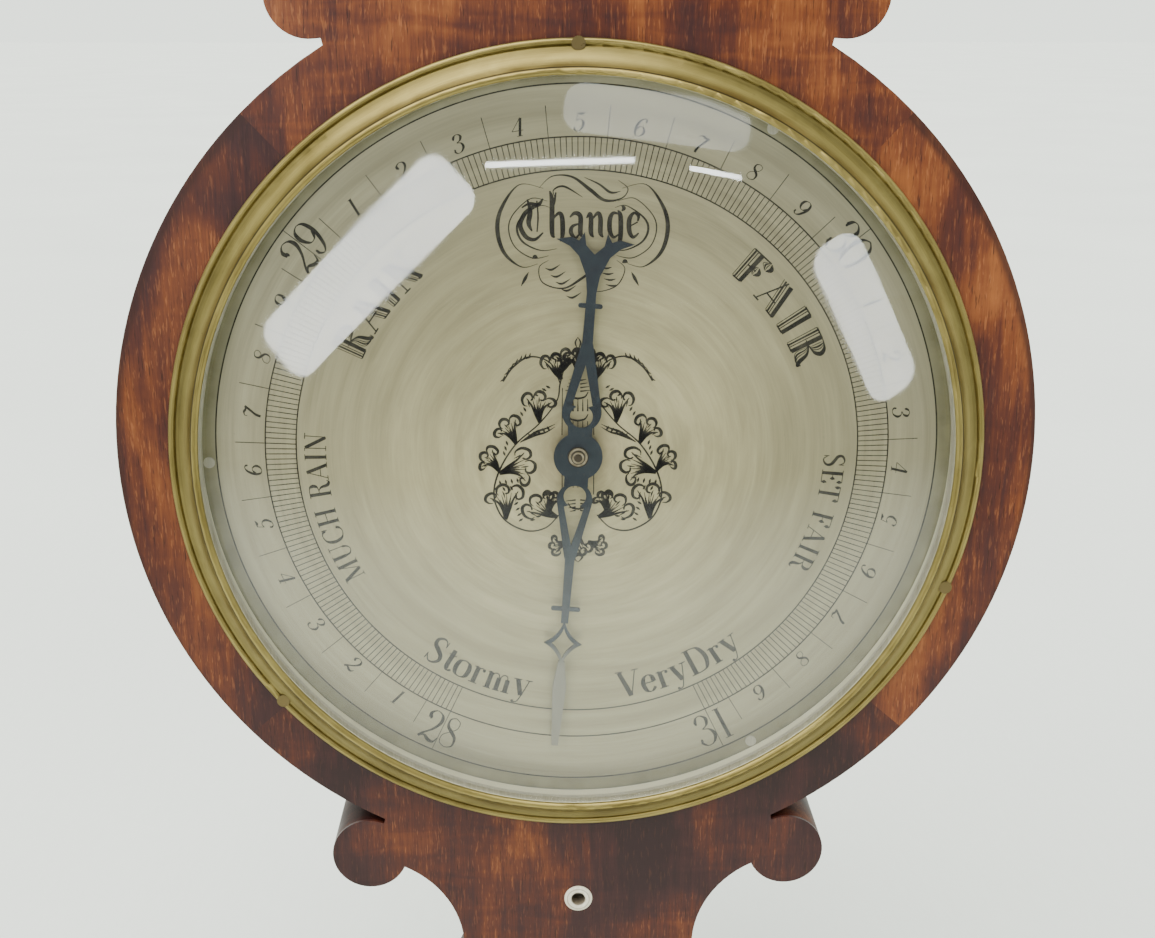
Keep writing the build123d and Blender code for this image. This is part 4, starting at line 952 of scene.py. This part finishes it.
def leaf(x, y, heading, size, lobes=3, bend=0.7, draw=both_sides):
    """A trumpet-shaped leaf: hatched dark at its stalk and ending in round scallops."""
    base = math.radians(heading)

    def at(along, across, width):
        turn = bend * along
        reach, drift = math.sin(turn) / bend, (1 - math.cos(turn)) / bend
        u, v = reach - across * math.sin(turn), drift + across * math.cos(turn)
        return (x + size * (u * math.cos(base) - v * math.sin(base)),
                y + size * (u * math.sin(base) + v * math.cos(base)), width)

    for side in (-1, 1):
        draw(smooth_path([at(0.0, 0.02 * side, 0.7), at(0.30, 0.10 * side, 0.95),
                at(0.56, 0.22 * side, 0.75), at(0.76, (LEAF_SPREAD + 0.08) * side, 0.3)], 5))
    for lobe in range(lobes):
        place = -1 + 2 * lobe / (lobes - 1)
        middle, across = 0.84 - 0.13 * place * place, place * LEAF_SPREAD
        facing = place * 1.05
        scallop = []
        for turn, wide, reach in SCALLOP:
            scallop.append(at(middle + reach * math.cos(facing + turn),
                    across + reach * math.sin(facing + turn), wide))
        draw(smooth_path(scallop, 5))
        draw([at(middle + 0.03, across - 0.02, 0.15), at(middle - 0.06, across, 0.60),
                at(middle - 0.20, across * 0.85, 0.15)])
    for line in range(LEAF_LINES):
        place = -0.85 + 1.7 * line / (LEAF_LINES - 1)
        far = 0.62 + 0.14 * (line % 2)
        draw(smooth_path([at(0.02, 0.03 * place, 0.55), at(0.34, 0.12 * place, 0.62),
                at(far, 0.34 * place, 0.16)], 4))


def dashes(first, last, count, heading, length=1.8, draw=both_sides):
    """A row of short tapered cuts beside the stalk."""
    lean = math.radians(heading)
    dx, dy = length / 2 * math.cos(lean), length / 2 * math.sin(lean)
    for number in range(count):
        share = number / (count - 1)
        x, y = first[0] + (last[0] - first[0]) * share, first[1] + (last[1] - first[1]) * share
        draw([(x - dx, y - dy, 0.3), (x, y, 0.85), (x + dx, y + dy, 0.2)])


both_sides(smooth_path([(4.2, 33.0, 0.2), (6.2, 25.6, 0.55), (7.4, 19.4, 0.5), (13.6, 11.2, 0.5),
        (22.0, 3.6, 0.55), (28.0, -6.4, 0.65), (29.8, -15.6, 0.6), (26.4, -24.0, 0.6),
        (18.6, -28.4, 0.6), (11.6, -27.4, 0.5), (6.8, -22.6, 0.4)], 8))
both_sides(smooth_path([(6.2, 25.6, 0.4), (9.4, 32.8, 0.5), (16.4, 35.2, 0.6), (22.4, 31.6, 0.6),
        (26.0, 26.4, 0.5)], 8))
for number in range(7):
    x, y = 16.8 + number * 1.5, 35.0 - number * number * 0.22
    both_sides([(x - 0.4, y + 1.5, 0.2), (x, y, 0.85), (x + 1.2, y - 0.6, 0.2)])
for x, y, heading, size, bend in ((5.6, 27.0, 52, 9.2, 0.9), (13.4, 11.6, 78, 10.6, 0.5),
        (21.8, 3.8, 74, 9.6, -0.5), (28.0, -6.2, 70, 8.6, -0.9),
        (27.8, -7.0, 152, 12.4, 0.6), (25.8, -24.2, 98, 12.4, -0.5),
        (7.2, -23.4, 196, -11.6, 0.9)):
    leaf(x, y, heading, size, 3, bend)
leaf(6.2, 29.4, 128, 8.4, 3, -0.9)
for x, y, heading in ((9.8, -17.8, 90), (3.6, -29.6, -32)):
    leaf(x, y - 3.0, heading, 6.6, 3, 0.6)
for first, last, count, heading in (((10.4, 24.4), (14.6, 21.6), 4, 30),
        ((18.6, 16.4), (20.8, 13.2), 3, 60), ((25.0, 4.2), (26.0, 0.4), 3, 70),
        ((27.6, -10.4), (21.4, -9.6), 4, 75),
        ((29.0, -13.0), (23.6, -12.4), 3, 60),
        ((22.0, -18.2), (20.4, -24.4), 4, -35),
        ((16.2, -24.4), (12.0, -21.8), 3, -10)):
    dashes(first, last, count, heading)
for side in (0.0, 1.0):
    both_sides(smooth_path([(20.4, 4.4, 0.3), (15.0, 7.0 + side, 0.9), (11.4, 8.0 + side * 1.4, 0.6),
            (8.0, 10.0 + side, 0.12)], 6))
dashes((17.0, 6.8), (10.4, 9.4), 5, 62, 1.9)
both_sides([(5.6, -15.0, 0.35), (5.6, -6.0, 0.35)])
both_sides([(5.6, 7.0, 0.35), (5.4, 24.0, 0.3)])
for height in (13.6, 21.6, -19.0):
    both_sides(smooth_path(
        [(0.0, height - 1.4, 0.75), (2.4, height - 0.8, 0.6), (3.6, height + 1.0, 0.3)], 5))
for across in (0.0, 1.7, 3.4):
    both_sides([(across, 8.0, 0.30), (across, 12.0, 0.30)])
    both_sides([(across, 15.6, 0.55), (across, 20.0, 0.20)])
    both_sides([(across, -8.0, 0.30), (across, -12.4, 0.30)])
for height in range(4):
    both_sides([(0.8, 22.8 + height * 1.3, 0.6), (4.4 - height * 0.5, 23.2 + height * 1.3, 0.2)])
    both_sides([(0.8, -17.0 - height * 1.3, 0.6), (4.4 - height * 0.5, -17.4 - height * 1.3, 0.2)])
leaf(0.0, -28.6, -90, 9.0, 4, 0.05, ornament.stroke)
leaf(0.0, 28.8, 90, 8.6, 3, 0.05, ornament.stroke)
both_sides(smooth_path([(0.0, -40.6, 0.15), (1.6, -38.6, 0.75), (0.6, -36.4, 0.3)], 5))
both_sides(smooth_path([(0.0, 42.0, 0.15), (0.9, 40.2, 0.6), (0.4, 38.4, 0.3)], 5))
ornament.done("centre_ornament", ENGRAVED.material)


# ---------------------------------------------------------------- scale marks, made by one tree of nodes
def mark_tree(name, straight=False):
    """A row of short cut lines, on an arc about the dial's centre or up a straight scale."""
    tree = bpy.data.node_groups.new(name, "GeometryNodeTree")
    kinds = {"Count": "Int", "Finish": "Material"}
    for label in ("Count", "First", "Step", "Start", "Length", "Width", "Depth", "Height", "Finish"):
        tree.interface.new_socket(label, in_out="INPUT", socket_type="NodeSocket" + kinds.get(label, "Float"))
    tree.interface.new_socket("Geometry", in_out="OUTPUT", socket_type="NodeSocketGeometry")
    given = tree.nodes.new("NodeGroupInput").outputs
    result = tree.nodes.new("NodeGroupOutput")

    def link(a, b):
        tree.links.new(a, b)

    def maths(operation, a, b=None):
        node = tree.nodes.new("ShaderNodeMath")
        node.operation = operation
        for value, socket in zip((a, b), node.inputs):
            if isinstance(value, bpy.types.NodeSocket):
                link(value, socket)
            elif value is not None:
                socket.default_value = value
        return node.outputs[0]

    points = tree.nodes.new("GeometryNodePoints")
    link(given["Count"], points.inputs["Count"])
    index = tree.nodes.new("GeometryNodeInputIndex").outputs[0]
    value = maths("ADD", given["First"], maths("MULTIPLY", index, given["Step"]))
    reach = maths("ADD", given["Start"], maths("MULTIPLY", given["Length"], 0.5))
    where = tree.nodes.new("ShaderNodeCombineXYZ")
    turn = tree.nodes.new("ShaderNodeCombineXYZ")
    if straight:
        link(reach, where.inputs[0])
        link(maths("ADD", value, given["Height"]), where.inputs[2])
    else:
        link(maths("MULTIPLY", maths("COSINE", value), reach), where.inputs[0])
        link(maths("ADD", maths("MULTIPLY", maths("SINE", value), reach), given["Height"]), where.inputs[2])
        link(maths("MULTIPLY", value, -1.0), turn.inputs[1])
    link(maths("MULTIPLY", given["Depth"], -1.0), where.inputs[1])
    moved = tree.nodes.new("GeometryNodeSetPosition")
    link(points.outputs[0], moved.inputs["Geometry"])
    link(where.outputs[0], moved.inputs["Position"])
    bar = tree.nodes.new("GeometryNodeMeshCube")
    size = tree.nodes.new("ShaderNodeCombineXYZ")
    link(given["Length"], size.inputs[0])
    size.inputs[1].default_value = INK_RISE + INK_SUNK
    link(given["Width"], size.inputs[2])
    link(size.outputs[0], bar.inputs["Size"])
    stamped = tree.nodes.new("GeometryNodeInstanceOnPoints")
    link(moved.outputs[0], stamped.inputs["Points"])
    link(bar.outputs[0], stamped.inputs["Instance"])
    link(turn.outputs[0], stamped.inputs["Rotation"])
    real = tree.nodes.new("GeometryNodeRealizeInstances")
    link(stamped.outputs[0], real.inputs[0])
    painted = tree.nodes.new("GeometryNodeSetMaterial")
    link(real.outputs[0], painted.inputs["Geometry"])
    link(given["Finish"], painted.inputs["Material"])
    link(painted.outputs[0], result.inputs["Geometry"])
    return tree


ARC_MARKS = mark_tree("marks_on_an_arc")
ROW_MARKS = mark_tree("marks_up_a_scale", straight=True)


def cut_marks(name, tree, finish, **sizes):
    holder = placed(name + "_tool", bpy.data.meshes.new(name + "_tool"))
    modifier = holder.modifiers.new("marks", "NODES")
    modifier.node_group = tree
    sizes["Finish"] = finish.material
    for item in tree.interface.items_tree:
        if item.item_type == "SOCKET" and item.in_out == "INPUT" and item.name in sizes:
            modifier[item.identifier] = sizes[item.name]
    made = holder.evaluated_get(bpy.context.evaluated_depsgraph_get())
    mesh = bpy.data.meshes.new_from_object(made)
    mesh.name = name
    bpy.data.objects.remove(holder)
    return finished(name, mesh, finish.material)


INK_MIDDLE = DIAL_FACE + (INK_RISE - INK_SUNK) / 2
HUNDREDTH = math.radians(DEGREES_PER_INCH / 100)
cut_marks("hundredth_marks", ARC_MARKS, ENGRAVED_THIN, Count=301,
        First=math.radians(scale_angle(LOWEST_INCH)), Step=-HUNDREDTH,
          Start=MARKS_INNER * MM, Length=10.8 * MM, Width=0.32 * MM, Depth=INK_MIDDLE, Height=DIAL_HEIGHT)
cut_marks("tenth_dividers", ARC_MARKS, ENGRAVED_THIN, Count=30,
        First=math.radians(scale_angle(LOWEST_INCH + 0.05)), Step=-10 * HUNDREDTH,
          Start=MARKS_OUTER * MM, Length=10.5 * MM, Width=0.26 * MM, Depth=INK_MIDDLE, Height=DIAL_HEIGHT)
cut_marks("inch_dividers", ARC_MARKS, ENGRAVED_THIN, Count=4, First=math.radians(scale_angle(LOWEST_INCH)),
        Step=-100 * HUNDREDTH,
          Start=MARKS_OUTER * MM, Length=17.0 * MM, Width=0.28 * MM, Depth=INK_MIDDLE, Height=DIAL_HEIGHT)


def ring_line(name, radius, width, finish):
    low, high = (radius - width / 2) * MM, (radius + width / 2) * MM
    top, under = DIAL_FACE + INK_RISE, DIAL_FACE - INK_SUNK
    finished(name, lathe(name, [(low, under), (high, under), (high, top), (low, top)], 360),
            finish.material)


ring_line("inner_scale_ring", MARKS_INNER, 0.46, ENGRAVED)
ring_line("outer_scale_ring", MARKS_OUTER, 0.46, ENGRAVED)
ring_line("dial_border_ring", BORDER_RING, 0.50, ENGRAVED)

# Thermometer scale: degree marks and numerals
scale_face = -THERMOMETER_LOW[1]
scale_middle = (THERMOMETER_LOW[2] + THERMOMETER_HIGH[2]) / 2
for side, start in (("left", -12.5), ("right", 7.5)):
    cut_marks("degree_marks_" + side, ROW_MARKS, ENGRAVED_THIN, Count=61, First=-0.072, Step=0.0024,
            Start=start / 1000,
              Length=0.005, Width=0.00022, Depth=scale_face + (INK_RISE - INK_SUNK) / 2, Height=scale_middle)
DEGREE_FIGURE_TALL = 3.4
degrees = Engraver(scale_face, scale_middle)
for tens in range(7):
    for side in (-1, 1):
        tall = DEGREE_FIGURE_TALL
        label = str(tens * 20)
        shift = -word_width(label, 0.05) * tall / 2
        for path in letter_paths(label, 0.05):
            degrees.stroke([(side * 15.6 + x * tall * 0.75,
                             -72.0 + tens * 24.0 - tall / 2 + y * tall, w * tall) for x, y, w in path])
degrees.done("degree_numerals", ENGRAVED.material)

# ---------------------------------------------------------------- studio
def only_mirrored(holder):
    """Staging that shows in polished surfaces and nowhere else."""
    holder.visible_camera = False
    holder.visible_diffuse = False
    holder.visible_shadow = False


def flat_card(name, low, high, height):
    """A level rectangle between two (x, y) corners."""
    mesh = bpy.data.meshes.new(name)
    corners = [(low[0], low[1], height), (high[0], low[1], height), (high[0], high[1], height),
            (low[0], high[1], height)]
    mesh.from_pydata(corners, [], [(0, 1, 2, 3)])
    return placed(name, mesh)


WINDOW_DISTANCE = 1.6


def window(name, across, height, size, radiance, roll, corner):
    """A bright pane with rounded corners in front of the dial, seen only where it is mirrored."""
    mesh = bpy.data.meshes.new(name)
    half_wide, half_tall = size[0] / 2 - corner, size[1] / 2 - corner
    outline = []
    for quarter, (sx, sz) in enumerate(((1, 1), (-1, 1), (-1, -1), (1, -1))):
        for step in range(9):
            angle = math.radians(90 * quarter + 90 * step / 8)
            outline.append((sx * half_wide + corner * math.cos(angle), 0.0,
                    sz * half_tall + corner * math.sin(angle)))
    mesh.from_pydata(outline, [], [list(range(len(outline)))])
    pane = Finish(name, rough=1.0)
    bright = pane.add("ShaderNodeEmission")
    drift = pane.noise(3.2, 2.0)
    pane.plug(pane.ramp(drift, (0.35, (0.84, 0.88, 0.88)), (0.62, (1.0, 1.03, 1.03))), bright.inputs["Color"])
    bright.inputs["Strength"].default_value = radiance
    pane.plug(bright.outputs[0], pane.output.inputs["Surface"])
    mesh.materials.append(pane.material)
    holder = placed(name, mesh)
    holder.location = (across, -WINDOW_DISTANCE, height)
    holder.rotation_euler = (0.0, -roll, 0.0)
    only_mirrored(holder)


window("left_window", -0.603, -0.532, (0.80, 0.215), 13.0, 0.77, 0.06)
window("top_window", 0.27, -0.09, (0.56, 0.15), 3.2, -0.12, 0.06)
window("right_window", 0.935, -0.70, (0.56, 0.19), 10.5, -1.08, 0.07)
window("ceiling_strip", -0.02, -0.225, (0.43, 0.014), 34.0, 0.03, 0.006)
window("ceiling_strip_end", 0.435, -0.254, (0.16, 0.014), 30.0, -0.18, 0.006)

skylight = bpy.data.lights.new("skylight", "SUN")
skylight.energy = 4.2
skylight.angle = math.radians(60)
skylight.color = (1.0, 0.995, 0.98)
skylight_holder = placed("skylight", skylight)
skylight_holder.rotation_euler = Vector((-0.30, -0.42, 1.0)).to_track_quat("Z", "Y").to_euler()

FLOOR_REACH = 30.0
floor = flat_card("pale_floor", (-FLOOR_REACH, -FLOOR_REACH), (FLOOR_REACH, FLOOR_REACH), FLOOR)
cloth = Finish("pale_floor", rough=0.9)
weave = cloth.noise(240.0, 4.0, cloth.turned(stretch=(1, 0.25, 1)), 0.7)
# Painted shade of cloth folds: broad, faint darker and lighter patches on the flat floor.
fold_painted_shade = cloth.noise(2.2, 3.0)
shade = cloth.ramp(cloth.total((weave, 0.3), (fold_painted_shade, 0.7)), (0.3, (0.70, 0.72, 0.69)),
        (0.7, (0.76, 0.785, 0.75)))
cloth.colour(shade)
floor.data.materials.append(cloth.material)

# The room beyond the pale cloth is dark: this card is what the polished surfaces mirror there.
CARD_NEAR, CARD_DARK, CARD_FAR, CARD_REACH = -0.50, -0.95, -29.0, 20.0
card = flat_card("dark_room_card", (-CARD_REACH, CARD_FAR), (CARD_REACH, CARD_NEAR), FLOOR + 2 * MM)
dark_room = Finish("dark_room", rough=1.0)
clear = dark_room.add("ShaderNodeBsdfTransparent")
gloom = dark_room.add("ShaderNodeEmission")
gloom.inputs["Color"].default_value = (0.24, 0.24, 0.22, 1)
fade = dark_room.add("ShaderNodeMixShader")
dark_room.plug(dark_room.spread(dark_room.split()[1], CARD_NEAR, CARD_DARK, 0.0, 1.0), fade.inputs[0])
dark_room.plug(clear.outputs[0], fade.inputs[1])
dark_room.plug(gloom.outputs[0], fade.inputs[2])
dark_room.plug(fade.outputs[0], dark_room.output.inputs["Surface"])
card.data.materials.append(dark_room.material)
only_mirrored(card)

world = bpy.data.worlds.new("pale_room")
bpy.context.scene.world = world
world.use_nodes = True
sky = world.node_tree.nodes["Background"]
sky.inputs["Strength"].default_value = 1.0
DARK_SIDE, PALE_SIDE = (0.26, 0.26, 0.25, 1), (1.95, 2.10, 1.90, 1)
new_node, new_link = world.node_tree.nodes.new, world.node_tree.links.new
direction = new_node("ShaderNodeTexCoord")
parts = new_node("ShaderNodeSeparateXYZ")
new_link(direction.outputs["Generated"], parts.inputs[0])
depth = new_node("ShaderNodeMapRange")
depth.interpolation_type = "SMOOTHSTEP"
depth.inputs[1].default_value = -0.95
depth.inputs[2].default_value = -0.10
new_link(parts.outputs[1], depth.inputs[0])
room = new_node("ShaderNodeMix")
room.data_type = "RGBA"
room.inputs[6].default_value = DARK_SIDE
room.inputs[7].default_value = PALE_SIDE
path = new_node("ShaderNodeLightPath")
either = new_node("ShaderNodeMath")
either.operation = "MAXIMUM"
new_link(depth.outputs[0], either.inputs[0])
new_link(path.outputs["Is Camera Ray"], either.inputs[1])
new_link(either.outputs[0], room.inputs[0])
new_link(room.outputs[2], sky.inputs["Color"])

camera_data = bpy.data.cameras.new("main_camera")
camera_data.lens = 46.75
camera_data.sensor_width = 36.0
camera = placed("main_camera", camera_data)
camera.location = (-0.0108, -0.5496, -0.5207)
camera.rotation_euler = (math.radians(90 - 16.716), 0.0, math.radians(-1.2))
bpy.context.scene.camera = camera
